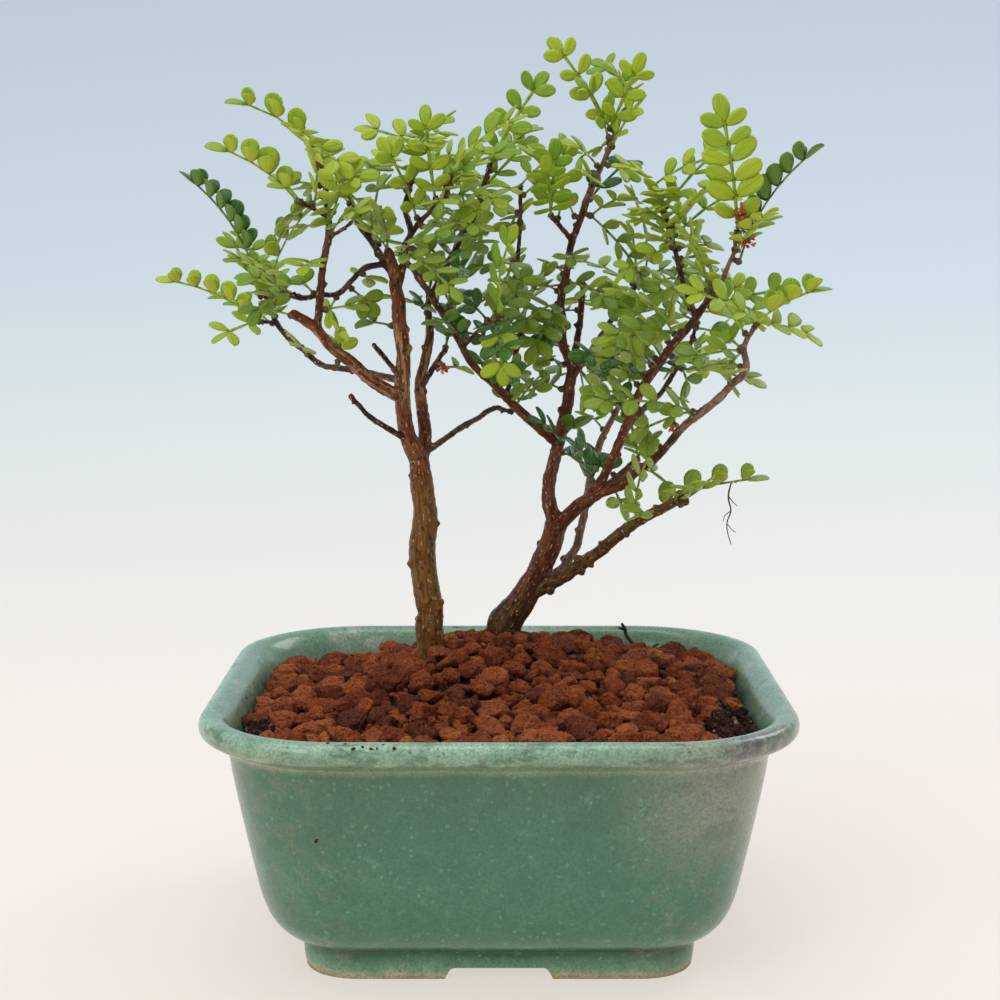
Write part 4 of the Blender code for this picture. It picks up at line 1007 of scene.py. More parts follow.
# Where each bit of bark lies on its limb: round it and along it for the grain, how thick the limb is there,
# and how old the bark is on these limbs from a height upwards: 0.5 is olive, and 1 is dry and pale.
DRY_FROM = {"grey_stem": (60, 1), "leader_high": (160, 1), "right_leader": (140, 1), "low_arm": (108, 1),
            "low_right_twig": (112, 0.7), "lowest": (60, 0.5)}
for name, stems in (("trunk_left", LEFT_STEMS), ("trunk_right", RIGHT_STEMS)):
    stem = stem_pieces[name]
    points = (points_of(stem) - np.array((POT_X, POT_Y, 0))) / MM
    nearest = np.full(len(points), 1e9)
    grain = np.zeros((len(points), 3))
    girth = np.zeros(len(points))
    dry = np.zeros(len(points))
    for number, (limb, route) in enumerate(stems.items()):
        run = 17.0 * number
        for a, b in zip(route, route[1:]):
            start, along = np.array(a[:3]), np.array(b[:3]) - np.array(a[:3])
            length = np.linalg.norm(along)
            share = np.clip((points - start) @ along / length ** 2, 0, 1)
            off = points - start - share[:, None] * along
            radius = a[3] + (b[3] - a[3]) * share
            away = np.linalg.norm(off, axis=1) - radius
            closer = away < nearest
            side = np.array(Vector(along).orthogonal().normalized())
            other = np.cross(along / length, side)
            spot = np.stack([off @ side, off @ other, run + share * length], 1)
            grain[closer] = spot[closer]
            girth[closer] = radius[closer]
            above, most = DRY_FROM.get(limb, (1e4, 0))
            dry[closer] = most * np.clip((points[closer, 2] - above) / 6, 0, 1)
            nearest[closer] = away[closer]
            run += length
    mark(stem, "bark_grain", grain)
    mark(stem, "bark_girth", girth)
    mark(stem, "bark_dry", dry)

rough_bark = bpy.data.textures.new("rough_bark", "CLOUDS")
rough_bark.noise_scale = 0.0016
rough_bark.noise_depth = 3
for stem in stem_pieces.values():
    modify(stem, "raised_bark", "DISPLACE", texture=rough_bark, texture_coords="LOCAL",
           strength=0.00042, mid_level=0.5)
    settle(stem)
    bpy.ops.object.shade_smooth()


def bark_finish(name, low, high, red_from, moss, striped, worn):
    """Bark of the colour low at the foot and high above red_from, dark on the twigs and pale where it is dry.

    It is green below moss. Cream pores and dark pits lie along it, and it is striped between two heights."""
    made, tree, shader = finish_of(name)
    place = in_millimetres(tree)
    grain = kept(tree, "bark_grain", "Vector")
    girth = kept(tree, "bark_girth")
    dry = kept(tree, "bark_dry")
    height = add(tree, "SeparateXYZ", {0: place}).outputs["Z"]
    up = sum_of(tree, "MULTIPLY_ADD", noise(tree, place, 0.12), 16.0, height)
    drawn_out = stretched(tree, grain, (1.0, 1.0, 0.12))
    halfway = stretched(tree, grain, (1.0, 1.0, 0.34))
    tone = blend(tree, span(tree, up, red_from, red_from + 22.0), low, high)
    broad = patchy(tree, halfway, 0.45, 0.42, 0.66, 3.0)
    tone = over(tree, tone, broad, 0.5, paint(150, 98, 52))
    furrows = patchy(tree, drawn_out, 1.5, 0.5, 0.63, 5.0, 0.7)
    tone = over(tree, tone, furrows, worn, paint(46, 28, 20))
    ridges = patchy(tree, drawn_out, 2.4, 0.56, 0.68, 3.0)
    tone = over(tree, tone, ridges, 0.8 * worn, paint(172, 116, 66))
    band = times(tree, span(tree, height, striped[0], striped[0] + 5.0),
                 span(tree, height, striped[1], striped[1] - 5.0))
    stripes = patchy(tree, drawn_out, 1.1, 0.47, 0.56, 2.0)
    tone = over(tree, tone, times(tree, band, stripes), 0.6, paint(206, 166, 122))
    thin = span(tree, girth, 1.2, 0.75)
    twig = blend(tree, patchy(tree, place, 0.25, 0.42, 0.6), paint(54, 34, 27), paint(112, 72, 52))
    tone = blend(tree, thin, tone, twig)
    worn_through = patchy(tree, halfway, 0.8, 0.4, 0.62)
    pale = blend(tree, worn_through, paint(180, 142, 116), paint(132, 98, 78))
    olive = blend(tree, worn_through, paint(124, 94, 50), paint(84, 58, 34))
    old = blend(tree, span(tree, dry, 0.55, 0.9), olive, pale)
    tone = blend(tree, span(tree, dry, 0.0, 0.5, 0.0, 0.85), tone, old)
    green = times(tree, span(tree, up, moss + 20.0, moss), patchy(tree, place, 0.5, 0.4, 0.7))
    tone = over(tree, tone, green, 0.75, paint(66, 66, 34))
    pits = specks_at(tree, stretched(tree, grain, (1.0, 1.0, 0.7), (0.3, 0.2, 0.5)), 1.2, 0.55, 0.25)
    tone = over(tree, tone, pits, 0.8, paint(32, 21, 16))
    pores = specks_at(tree, halfway, 0.62, 0.66, 0.19)
    tone = over(tree, tone, pores, 0.9, paint(220, 186, 142))
    relief = sum_of(tree, "MULTIPLY_ADD", noise(tree, drawn_out, 1.6, 6.0, 0.7), 0.7,
                    times(tree, sum_of(tree, "SUBTRACT", pores, furrows), 0.4))
    join(tree, shader, Base_Color=tone,
         Roughness=span(tree, noise(tree, place, 0.9), 0.2, 0.8, 0.26, 0.5),
         Normal=raised(tree, relief, 1.0, 0.0005))
    shader.inputs["Specular IOR Level"].default_value = 0.32
    return made


BARK = {
    "trunk_left": ("bark_olive", paint(140, 98, 36), paint(124, 60, 20), 98.0, 50.0, (116.0, 138.0), 0.34),
    "trunk_right": ("bark_red", paint(74, 56, 30), paint(112, 52, 30), 66.0, 66.0, (300.0, 310.0), 0.5),
}
for name, stem in stem_pieces.items():
    kind, *tones = BARK[name]
    stem.data.materials.clear()
    stem.data.materials.append(bark_finish(kind + "_skin", *tones))
    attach(stem, "root")
    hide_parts(name)


# A leaf is a soft green rib with thin wings, pairs of small blunt leaflets at its joints and one at its end.
# The leaves grow in sprays from buds on the twigs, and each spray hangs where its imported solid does.
# A spray is its tone, the point where its leaves meet, and for each leaf its tip and the way its face turns.
SPRAYS = [
    ("right_upright", "young", (51.5, -8, 157), [(46.5, -11, 186, 0.17, -0.98, -0.07)]),
    ("far_right_dark", "dark", (52, -8, 150.3), [(70, -6.7, 175.5, -0.75, 0.3, 0.59)]),
    ("top", "young", (25, 14.1, 180), [
        (11, 12, 199.9, 0.3, -0.95, 0.12), (31.8, 5.3, 196, -0.16, -0.89, -0.42),
    ]),
    ("right_tip", "young", (54.3, -20.5, 137.6), [
        (70.5, -18, 145, -0.34, -0.35, 0.87), (69.3, -14, 132.7, 0.44, -0.42, 0.8),
        (37, -23, 145, 0.38, -0.63, 0.67),
    ]),
    ("low_right", "mature", (31.2, 4.4, 91.8), [
        (60.7, 0, 101.9, -0.35, -0.21, 0.91), (35.2, -5.3, 111.4, -0.95, -0.32, 0.04),
    ]),
    ("left_top", "young", (-41.7, 3.4, 176), [
        (-59.3, -4, 185, 0.52, -0.22, 0.83), (-32, -4, 168.5, 0.07, -0.66, 0.74),
        (-41, 19, 176, 0.35, -0.02, 0.94),
    ]),
    ("left_upper", "young", (-43.4, -10, 163.3), [(-62, -16, 175, 0.57, -0.26, 0.78)]),
    ("far_left_low", "young", (-56.8, 27.3, 135.9), [
        (-80, 22, 146, 0.43, -0.26, 0.86), (-65.9, 14.3, 131.6, 0.37, -0.51, 0.78),
    ]),
    ("far_left_inner", "mature", (-54.5, 31.1, 143), [(-42.5, 24, 163.5, -0.87, -0.25, 0.42)]),
    ("far_left_high", "dark", (-58.2, 33.3, 147.6), [(-76.4, 37.3, 171.2, 0.66, -0.31, 0.69)]),
    ("centre_tip", "young", (-2, 19.8, 172.6), [
        (11, 18, 192.8, -0.24, -0.97, 0.07), (-17, 39, 174, -0.6, -0.51, 0.62),
    ]),
    ("leader_twig_tip", "young", (11.5, 7.3, 160.6), [
        (12.5, 2, 177.2, -0.05, -0.95, -0.3), (9.7, -10.6, 173, 0.22, -0.57, -0.79),
    ]),
    ("right_mass_tip", "young", (34.7, 10.3, 167.1), [
        (24.9, 2, 171.4, 0.49, -0.15, 0.86), (51, 3, 173.6, -0.51, -0.53, 0.68),
        (40, 26, 155, 0.51, 0.41, 0.75),
    ]),
    ("fork_dark", "dark", (21.3, 13.4, 100.1), [
        (15.3, 5.9, 110.8, 0.91, -0.3, 0.29), (25.3, 21.1, 105.5, 0.09, -0.6, 0.8),
    ]),
    ("leader_high", "dark", (20.7, 14, 164.1), [(31.5, 23, 173.5, -0.19, -0.6, 0.78)]),
    ("centre_left_tip", "young", (-18.3, 9.3, 176.1), [
        (-32.6, 10.6, 179.6, 0.12, -0.67, 0.73), (-10, -2, 181, -0.46, 0.04, 0.88),
        (-12, 24, 179, 0.21, -0.28, 0.94),
    ]),
    ("centre_left_fan", "young", (-10.6, -1.5, 169), [
        (6, -16, 181, -0.73, -0.34, 0.6), (5, -4, 174, -0.33, -0.53, 0.78),
    ]),
    ("left_riser", "mature", (-36.4, -5.9, 156.6), [
        (-34, -21, 165, -0.75, 0.23, 0.62), (-26.9, -17.9, 161.4, -0.6, -0.15, 0.79),
    ]),
    ("left_riser_back", "mature", (-37.7, 1.7, 166.4), [
        (-25, 15, 171, 0.11, -0.42, 0.9), (-43.9, 15.9, 165.4, -0.31, -0.06, 0.95),
    ]),
    ("upper_left_tip", "young", (-34.4, 17.6, 165.7), [
        (-30, 33, 154, 0.54, 0.41, 0.74), (-24, 30, 175, 0, -0.6, 0.8),
    ]),
    ("left_down_tip", "mature", (-47.7, -2.7, 143.5), [
        (-57, -24, 151, 0.47, 0.1, 0.88), (-53, -17, 137, 0.02, -0.42, 0.91),
    ]),
    ("left_spur", "young", (-40.1, -10.1, 150), [(-41.1, -24.1, 147.6, 0.05, -0.17, 0.98)]),
    ("trunk_stub", "mature", (-24.8, 2.7, 153), [
        (-31.7, -3.9, 158.3, 0.55, 0.09, 0.83), (-27.5, -6.4, 163.5, 0.7, 0.44, 0.56),
    ]),
    ("trunk_leader", "mature", (-19.1, 5, 153.1), [(-10, 13, 137, 0.73, -0.67, 0.08)]),
    ("centre_mid", "mature", (-10.1, 21.6, 155.3), [
        (-17.9, 32.5, 164.3, 0.01, -0.63, 0.78), (-3, 5, 152, -0.14, -0.25, 0.96),
    ]),
    ("centre_riser_tip", "young", (4.8, 15.8, 167.2), [
        (17.9, 27.8, 176.5, -0.06, -0.57, 0.82), (-8, 2, 158, 0.06, -0.59, 0.81),
    ]),
    ("centre_riser_mid", "mature", (3.1, 19.1, 149.8), [
        (-8, 26, 147, -0.46, -0.44, 0.77), (0.6, -0.9, 142.6, 0.21, -0.35, 0.91),
    ]),
    ("centre_low", "dark", (3.2, 23.4, 129.9), [
        (-13, 19, 134, 0.35, -0.6, 0.72), (15, 40, 130, 0.4, -0.29, 0.87),
    ]),
    ("centre_lime", "young", (0.6, -6.9, 138.5), [
        (4, -22, 158, -0.95, -0.31, -0.07), (1, -7, 123, -0.25, -0.97, 0),
    ]),
    ("cross_upper", "dark", (-11, 0.5, 140.3), [(-6, -6, 152, -0.9, -0.4, 0.17)]),
    ("cross_tip", "mature", (-21.4, -5.4, 152), [
        (-10, -22, 156, -0.49, -0.13, 0.86), (-7.8, -22.5, 142.2, 0, -0.5, 0.87),
    ]),
    ("cross_small", "mature", (1.2, 10.6, 122.8), [
        (13, 12, 129, -0.33, -0.57, 0.75), (-0.2, 1, 133.5, -0.99, 0.01, -0.12),
    ]),
    ("leader_knob", "mature", (13.2, 14.3, 140.4), [
        (3.2, -0.2, 134.7, 0.18, -0.46, 0.87), (6.5, 4.3, 127.2, 0.01, -0.8, 0.6),
    ]),
    ("leader_right", "mature", (20.8, 12, 160.4), [
        (29.5, 2.3, 164.4, -0.03, 0.36, 0.93), (34, 18, 143, 0.68, -0.68, 0.28),
    ]),
    ("back_riser_tip", "mature", (19.9, 29.4, 144.9), [
        (35, 25.1, 131, 0.24, -0.82, 0.52), (-2, 39, 138, -0.45, -0.47, 0.76),
    ]),
    ("back_right_tip", "mature", (35.6, 43.5, 147), [
        (29.7, 30.7, 168, 0.95, 0.08, 0.31), (57, 47, 145, 0.15, -0.44, 0.88),
    ]),
    ("right_mass_mid", "young", (38.4, 4.3, 153.5), [
        (43.6, -10.7, 164.3, -0.71, 0.23, 0.67), (25, 2, 145, -0.34, -0.63, 0.7),
    ]),
    ("right_low_side", "dark", (32.2, 2.7, 125.2), [
        (15, -9, 130, 0.48, -0.38, 0.79), (46, 21, 127, 0.34, -0.35, 0.87),
    ]),
    ("right_side", "mature", (38.4, -4.4, 134.6), [
        (22, -21, 145, 0.56, -0.03, 0.83), (21, -15, 133, 0.22, -0.49, 0.84),
    ]),
    ("right_end", "mature", (45, -8.5, 144.3), [(37, -27, 157, 0.67, 0.21, 0.72)]),
    ("right_back_tip", "mature", (47.3, 31.5, 135.7), [
        (28, 28, 148, 0.52, -0.52, 0.67), (31, 46, 138, -0.27, -0.44, 0.85),
    ]),
    ("right_knee", "mature", (51.7, -15.2, 128.2), [(46, -2, 126, -0.33, 0.02, 0.94)]),
    ("right_under", "mature", (42.2, -8.9, 117.9), [
        (18, -16, 120, 0.25, -0.61, 0.75), (29, -4, 111, -0.54, -0.44, 0.72),
    ]),
    ("leader_dark", "dark", (14.2, 18.4, 108.2), [
        (6.7, 8.5, 114.9, 0.78, -0.19, 0.59), (20.7, 14.3, 114.9, -0.38, 0.57, 0.73),
    ]),
    ("grey_tip", "mature", (31.1, 41.3, 118), [
        (36, 51, 135, 0.16, -0.88, 0.45), (23, 52, 123, 0.14, -0.33, 0.93),
    ]),
    ("stub_tip", "mature", (32.8, 22.5, 103.8), [
        (36, 43, 103, 0, 0.04, 1), (30.1, 31, 114.9, 0.22, -0.75, 0.62),
    ]),
    ("back_low_tip", "mature", (3.1, 33.6, 114), [
        (14, 48, 124, -0.16, -0.48, 0.86), (0, 38, 132, -0.02, -0.97, 0.23),
    ]),
]

# Sprays whose first leaf is folded up along its rib, and how far each unit across a leaf reaches out and up
FOLDED = ("far_right_dark", "low_right", "far_left_high", "far_left_inner", "left_top", "left_upper",
          "far_left_low", "right_tip")
FOLDED_LEAF = (0.5, 0.85)
FLAT_LEAF = (1.0, 0.22)
# How long a leaf's bare stalk is, how far apart its pairs of leaflets stand and how wide half of it is
LEAF_HABIT = {"far_right_dark": (6.5, 3.9, 5.2), "low_right": (6.5, 5.6, 5.1),
              "far_left_high": (5.0, 4.0, 5.4), "right_upright": (3.0, 4.4, 6.6),
              "far_left_low": (3.0, 3.8, 4.6)}
USUAL_HABIT = (3.0, 4.7, 5.1)
FILLING_HABIT = (2.4, 4.7, 4.9)
# How high a leaf bows between its seat and its tip, as a share of its length
SPRAY_BOW = 0.09
FILLING_BOW = 0.08
# How far a bud stands off the bark, on the twigs that carry sprays and on those of the filling
SEAT = 0.35
FILLING_SEAT = 0.7


def hang(seat, tip, face, habit, bow, fold=FLAT_LEAF):
    """A leaf from its seat to its tip, bowed and folded, with its upper side towards face."""
    along = (tip - seat).normalized()
    up = (face - along * face.dot(along)).normalized()
    length = (tip - seat).length
    return {"seat": seat, "length": length, "habit": habit, "bow": bow * length, "fold": fold,
            "frame": (along, along.cross(up), up)}


def leaf_point(leaf, run, across):
    """A point of the leaf: run along the rib and across it."""
    share = run / leaf["length"]
    bow = leaf["bow"] * 4 * share * (1 - share)
    out, cup = leaf["fold"]
    along, side, up = leaf["frame"]
    return leaf["seat"] + along * run + side * across * out + up * (bow + cup * abs(across))


# One leaflet is drawn once: a blunt oval with a faint notch at its tip, thin at the edge. Each copy is
# creased down its middle and bent its own way.
LEAFLET_RUNS = (0.0, 0.10, 0.28, 0.50, 0.70, 0.86, 0.96, 1.0)
LEAFLET_WIDTHS = (0.14, 0.45, 0.80, 1.0, 0.95, 0.74, 0.42, 0.16)
LEAFLET_NOTCH = 0.03
LEAFLET_THICK = 0.42

bpy.ops.object.select_all(action="DESELECT")
bpy.ops.mesh.primitive_grid_add(x_subdivisions=len(LEAFLET_RUNS) - 1, y_subdivisions=4, size=2.0)
pattern = bpy.context.object
for vert in pattern.data.vertices:
    row = round((vert.co.x + 1) / 2 * (len(LEAFLET_RUNS) - 1))
    across = vert.co.y
    run = LEAFLET_RUNS[row]
    if row == len(LEAFLET_RUNS) - 1:
        run -= LEAFLET_NOTCH * (1 - min(1, abs(across) * 2)) + 0.035 * max(0, abs(across) - 0.5)
    vert.co = (run, across * LEAFLET_WIDTHS[row], 0)
face_outward()
sheet = points_of(pattern)
sheet_faces = faces_of(pattern)
edge_count = {}
for face in sheet_faces:
    for a, b in zip(face, face[1:] + face[:1]):
        edge_count[frozenset((a, b))] = edge_count.get(frozenset((a, b)), 0) + 1
rim = {v for pair, uses in edge_count.items() if uses == 1 for v in pair}
under = {}
for v in range(len(sheet)):
    under[v] = v if v in rim else len(sheet) + len([u for u in range(v) if u not in rim])
upward = pattern.data.polygons[0].normal.z > 0
bpy.data.objects.remove(pattern, do_unlink=True)
sheet_faces = [face if upward else face[::-1] for face in sheet_faces]
leaflet_points = np.concatenate([sheet, sheet[[v for v in range(len(sheet)) if v not in rim]]])
leaflet_lift = np.array([0.0 if v in rim else 0.5 for v in range(len(sheet))]
                        + [-0.5] * (len(sheet) - len(rim)))
leaflet_faces = sheet_faces + [[under[v] for v in reversed(face)] for face in sheet_faces]
leaflet_under = [0.0] * len(sheet_faces) + [1.0] * len(sheet_faces)


class Foliage:
    """Gathers leaflets, ribs and bud scales in one mesh, with what their finish needs to know."""

    def __init__(self):
        self.points, self.faces, self.face, self.tint, self.place = [], [], [], [], []
        self.count = 0

    def add(self, points, faces, under, tint, part, place):
        """part is 0 on a leaflet, 1 on a rib and 2 on a bud."""
        self.faces += [[v + self.count for v in face] for face in faces]
        self.points.append(points)
        self.count += len(points)
        self.face += [(u, part, 0.0) for u in under]
        self.tint += [tint] * len(faces)
        self.place.append(place)

    def piece(self, name):
        made = made_of(name, self.points, self.faces, 1e-5)
        mark(made, "leaf_face", self.face, "FACE")
        mark(made, "leaf_tint", self.tint, "FACE")
        mark(made, "leaf_place", np.concatenate(self.place))
        made.data.shade_smooth()
        return made


def add_leaflet(foliage, root, tip, up, width, thick, draw, tint):
    """Bends the drawn leaflet from its root to its tip, with its own tilt, droop and crease."""
    along = tip - root
    length = along.length
    along.normalize()
    up = (up - along * up.dot(along)).normalized()
    up.rotate(Matrix.Rotation(draw.gauss(0, 0.22), 3, along))
    side = up.cross(along)
    crease = draw.uniform(0.1, 0.28)
    droop = draw.uniform(-0.05, 0.13)
    wave = draw.uniform(-0.05, 0.05)
    run = leaflet_points[:, 0] * length
    across = leaflet_points[:, 1] * width
    height = (leaflet_lift * thick * np.clip(2.2 - 1.6 * leaflet_points[:, 0], 0.8, 1.6)
              + crease * np.abs(across) - droop * run ** 2 / length
              + wave * across * run / length)
    points = (np.array(root) + run[:, None] * np.array(along) + across[:, None] * np.array(side)
              + height[:, None] * np.array(up))
    place = np.stack([leaflet_points[:, 0], leaflet_points[:, 1], np.full(len(run), tint * 40)], 1)
    foliage.add(points, leaflet_faces, leaflet_under, tint, 0.0, place)


def add_tube(foliage, spine, part, tint, sides=6):
    """A closed round or flattened rib through (point, side, up, half width, half height)."""
    rows = []
    place = []
    for number, (spot, side, up, half, thick) in enumerate(spine):
        for k in range(sides):
            turn = 2 * math.pi * k / sides
            rows.append(spot + side * (half * math.cos(turn)) + up * (thick * math.sin(turn)))
            place.append((number / (len(spine) - 1), math.cos(turn), tint * 40))
    faces = ring_faces(len(spine), sides)
    foliage.add(np.array(rows), faces, [0.0] * len(faces), tint, part, np.array(place))


def add_leaf(foliage, leaf, draw):
    """A whole pinnate leaf: its winged rib, its pairs of leaflets and the one at its end."""
    petiole, pitch, size = leaf["habit"]
    end = leaf["length"] - 0.95 * size
    base = petiole + 0.55
    pairs = max(2, round((leaf["length"] - petiole - 2.2) / pitch))
    if leaf["length"] < 11.5:
        stations = [0.5 * (base + end)]
    else:
        stations = [base + (end - 0.6 - base) * k / (pairs - 1) for k in range(pairs)]
    along, side, up = leaf["frame"]
    leaf_tint = draw.random()
    plump = draw.uniform(0.26, 0.33) if leaf["fold"] == FLAT_LEAF else draw.uniform(0.38, 0.44)
    spine = [(0.0, 0.36, 0.32), (0.5 * base, 0.28, 0.25)]
    for station in stations:
        spine += [(station - 0.35, 0.46, 0.22), (station + 0.1, 0.3, 0.24)]
    spine += [(end - 0.1, 0.42, 0.2), (end + 0.3, 0.22, 0.16)]
    add_tube(foliage, [(leaf_point(leaf, run, 0.0), side, up, half, thick) for run, half, thick in spine],
             1.0, leaf_tint)
    for k, station in enumerate(stations):
        grow = 0.72 + 0.16 * math.sin(math.pi * (k + 0.8) / (len(stations) + 0.6))
        for way in (1, -1):
            out = size * grow * draw.uniform(0.9, 1.1)
            shift = draw.uniform(-0.2, 0.2)
            root = leaf_point(leaf, station + shift, way * 0.2)
            tip = leaf_point(leaf, station + shift + draw.uniform(0.5, 0.72) * out, way * out)
            face = up * leaf["fold"][0] + side * way * -leaf["fold"][1]
            add_leaflet(foliage, root, tip, face, plump * (tip - root).length, LEAFLET_THICK, draw,
                        0.6 * leaf_tint + 0.4 * draw.random())
    root = leaf_point(leaf, end, 0.0)
    tip = leaf_point(leaf, leaf["length"], 0.0)
    add_leaflet(foliage, root, tip, up, (plump + 0.02) * (tip - root).length, LEAFLET_THICK, draw,
                0.6 * leaf_tint + 0.4 * draw.random())


def add_bud(foliage, stem_spot, seat, draw):
    """The short woody spur and the bud that a spray grows from."""
    way = (seat - stem_spot).normalized()
    side = way.orthogonal().normalized()
    up = way.cross(side)
    reach = (seat - stem_spot).length
    shape = ((0.0, 0.75), (0.45, 0.6), (0.7, 0.66), (0.9, 0.84), (1.1, 0.72), (1.35, 0.3))
    spine = [(stem_spot + way * reach * share, side, up, half, half) for share, half in shape]
    add_tube(foliage, spine, 2.0, draw.random(), 8)


leaf_group = bpy.data.node_groups.new("leaf_surface", "ShaderNodeTree")
for name in ("Upper", "Upper Two", "Under", "Rib"):
    leaf_group.interface.new_socket(name, in_out="INPUT", socket_type="NodeSocketColor")
leaf_group.interface.new_socket("Painted Sheen", in_out="INPUT", socket_type="NodeSocketFloat")
leaf_group.interface.new_socket("Colour", in_out="OUTPUT", socket_type="NodeSocketColor")
for name in ("Height", "Dullness"):
    leaf_group.interface.new_socket(name, in_out="OUTPUT", socket_type="NodeSocketFloat")
inlet = leaf_group.nodes.new("NodeGroupInput").outputs
outlet = leaf_group.nodes.new("NodeGroupOutput").inputs
tree = leaf_group
face = add(tree, "SeparateXYZ", {0: kept(tree, "leaf_face", "Vector")})
tint = kept(tree, "leaf_tint")
spot = kept(tree, "leaf_place", "Vector")
run, across, _ = add(tree, "SeparateXYZ", {0: spot}).outputs
side = sum_of(tree, "ABSOLUTE", across)
place = in_millimetres(tree)
top = blend(tree, tint, inlet["Upper"], inlet["Upper Two"])
blotch = patchy(tree, place, 0.7, 0.35, 0.7, 3.0)
top = over(tree, top, blotch, 0.25, inlet["Under"])
veins = sum_of(tree, "MULTIPLY_ADD", side, -0.55, run)
veins = sum_of(tree, "SINE", times(tree, veins, 44.0))
veins = times(tree, span(tree, veins, 0.55, 1.0), span(tree, side, 1.0, 0.4))
mid = span(tree, side, 0.12, 0.03)
net_of_veins = sum_of(tree, "MAXIMUM", times(tree, veins, 0.35), mid)
# Painted sheen: whitish patches on some leaflets stand for the silvery reflections of their glossy faces.
painted_sheen = times(tree, span(tree, tint, 0.66, 0.8), patchy(tree, place, 1.4, 0.42, 0.6, 4.0, 0.7))
top = over(tree, top, painted_sheen, inlet["Painted Sheen"], paint(196, 214, 190))
top = over(tree, top, net_of_veins, 0.3, inlet["Rib"])
below = blend(tree, times(tree, net_of_veins, 0.6), inlet["Under"], inlet["Rib"])
glands = specks_at(tree, place, 0.55, 0.25, 0.2)
below = over(tree, below, glands, 0.35, inlet["Upper"])
colour = blend(tree, face.outputs["X"], top, below)
edge = times(tree, span(tree, side, 0.86, 1.0), 0.35)
colour = blend(tree, edge, colour, inlet["Rib"])
root_mark = span(tree, run, 0.1, 0.0)
colour = over(tree, colour, root_mark, 0.8, paint(86, 62, 30))
is_rib = span(tree, face.outputs["Y"], 0.4, 0.6)
is_bud = span(tree, face.outputs["Y"], 1.4, 1.6)
colour = blend(tree, is_rib, colour, blend(tree, blotch, inlet["Rib"], inlet["Upper"]))
scale = blend(tree, patchy(tree, place, 1.2, 0.4, 0.65), paint(70, 48, 34), paint(120, 112, 54))
colour = blend(tree, is_bud, colour, scale)
tree.links.new(colour, outlet["Colour"])
crinkle = sum_of(tree, "MULTIPLY_ADD", noise(tree, place, 1.3, 5.0, 0.65), 1.2,
                 times(tree, net_of_veins, -0.5))
crinkle = sum_of(tree, "MULTIPLY_ADD", glands, 0.25, crinkle)
tree.links.new(crinkle, outlet["Height"])
dull = sum_of(tree, "MULTIPLY_ADD", face.outputs["X"], 0.25, times(tree, is_bud, 0.3))
tree.links.new(dull, outlet["Dullness"])

# A tone is two colours of the upper side, one of the underside and one of the rib. Then come how dull,
# how coated it is, and how strongly a whitish painted sheen lies on some leaflets, standing for glossy
# reflections.
LEAF_TONES = {
    "young": (paint(104, 156, 28), paint(192, 212, 52), paint(180, 196, 54), paint(182, 190, 54),
              0.34, 0.12, 0.0),
    "mature": (paint(62, 118, 22), paint(176, 194, 44), paint(164, 184, 54), paint(166, 180, 56),
               0.28, 0.3, 0.35),
    "dark": (paint(16, 84, 18), paint(66, 120, 30), paint(100, 138, 46), paint(112, 146, 56),
             0.22, 0.35, 0.45),
}
leaf_finishes = {}
for tone, (upper, upper_two, lower, rib, gloss, coat, sheen_share) in LEAF_TONES.items():
    made, tree, shader = finish_of("leaf_" + tone + "_skin")
    skin_of = add(tree, "Group", node_tree=leaf_group)
    for key, colour in (("Upper", upper), ("Upper Two", upper_two), ("Under", lower), ("Rib", rib)):
        skin_of.inputs[key].default_value = colour
    skin_of.inputs["Painted Sheen"].default_value = sheen_share
    join(tree, shader, Base_Color=skin_of.outputs["Colour"],
         Roughness=sum_of(tree, "ADD", skin_of.outputs["Dullness"], gloss),
         Normal=raised(tree, skin_of.outputs["Height"], 0.7, 0.0003))
    shader.inputs["Specular IOR Level"].default_value = 0.28
    shader.inputs["Coat Weight"].default_value = coat
    shader.inputs["Coat Roughness"].default_value = gloss
    shader.inputs["Subsurface Weight"].default_value = 0.25
    shader.inputs["Subsurface Radius"].default_value = (0.6, 1.0, 0.3)
    shader.inputs["Subsurface Scale"].default_value = 0.0012
    leaf_finishes[tone] = made

for name, tone, seat, leaves in SPRAYS:
    draw = random.Random("blades " + name)
    foliage = Foliage()
    seat = Vector(seat)
    add_bud(foliage, on_limb(seat)[0], seat, draw)
    for number, numbers in enumerate(leaves):
        habit = LEAF_HABIT.get(name, USUAL_HABIT) if number == 0 else USUAL_HABIT
        fold = FOLDED_LEAF if number == 0 and name in FOLDED else FLAT_LEAF
        tip, face = Vector(numbers[:3]), Vector(numbers[3:])
        add_leaf(foliage, hang(seat, tip, face, habit, SPRAY_BOW, fold), draw)
    spray = foliage.piece("spray_" + name)
    spray.data.materials.append(leaf_finishes[tone])
    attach(spray, "root")
    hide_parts("leaves_" + name)


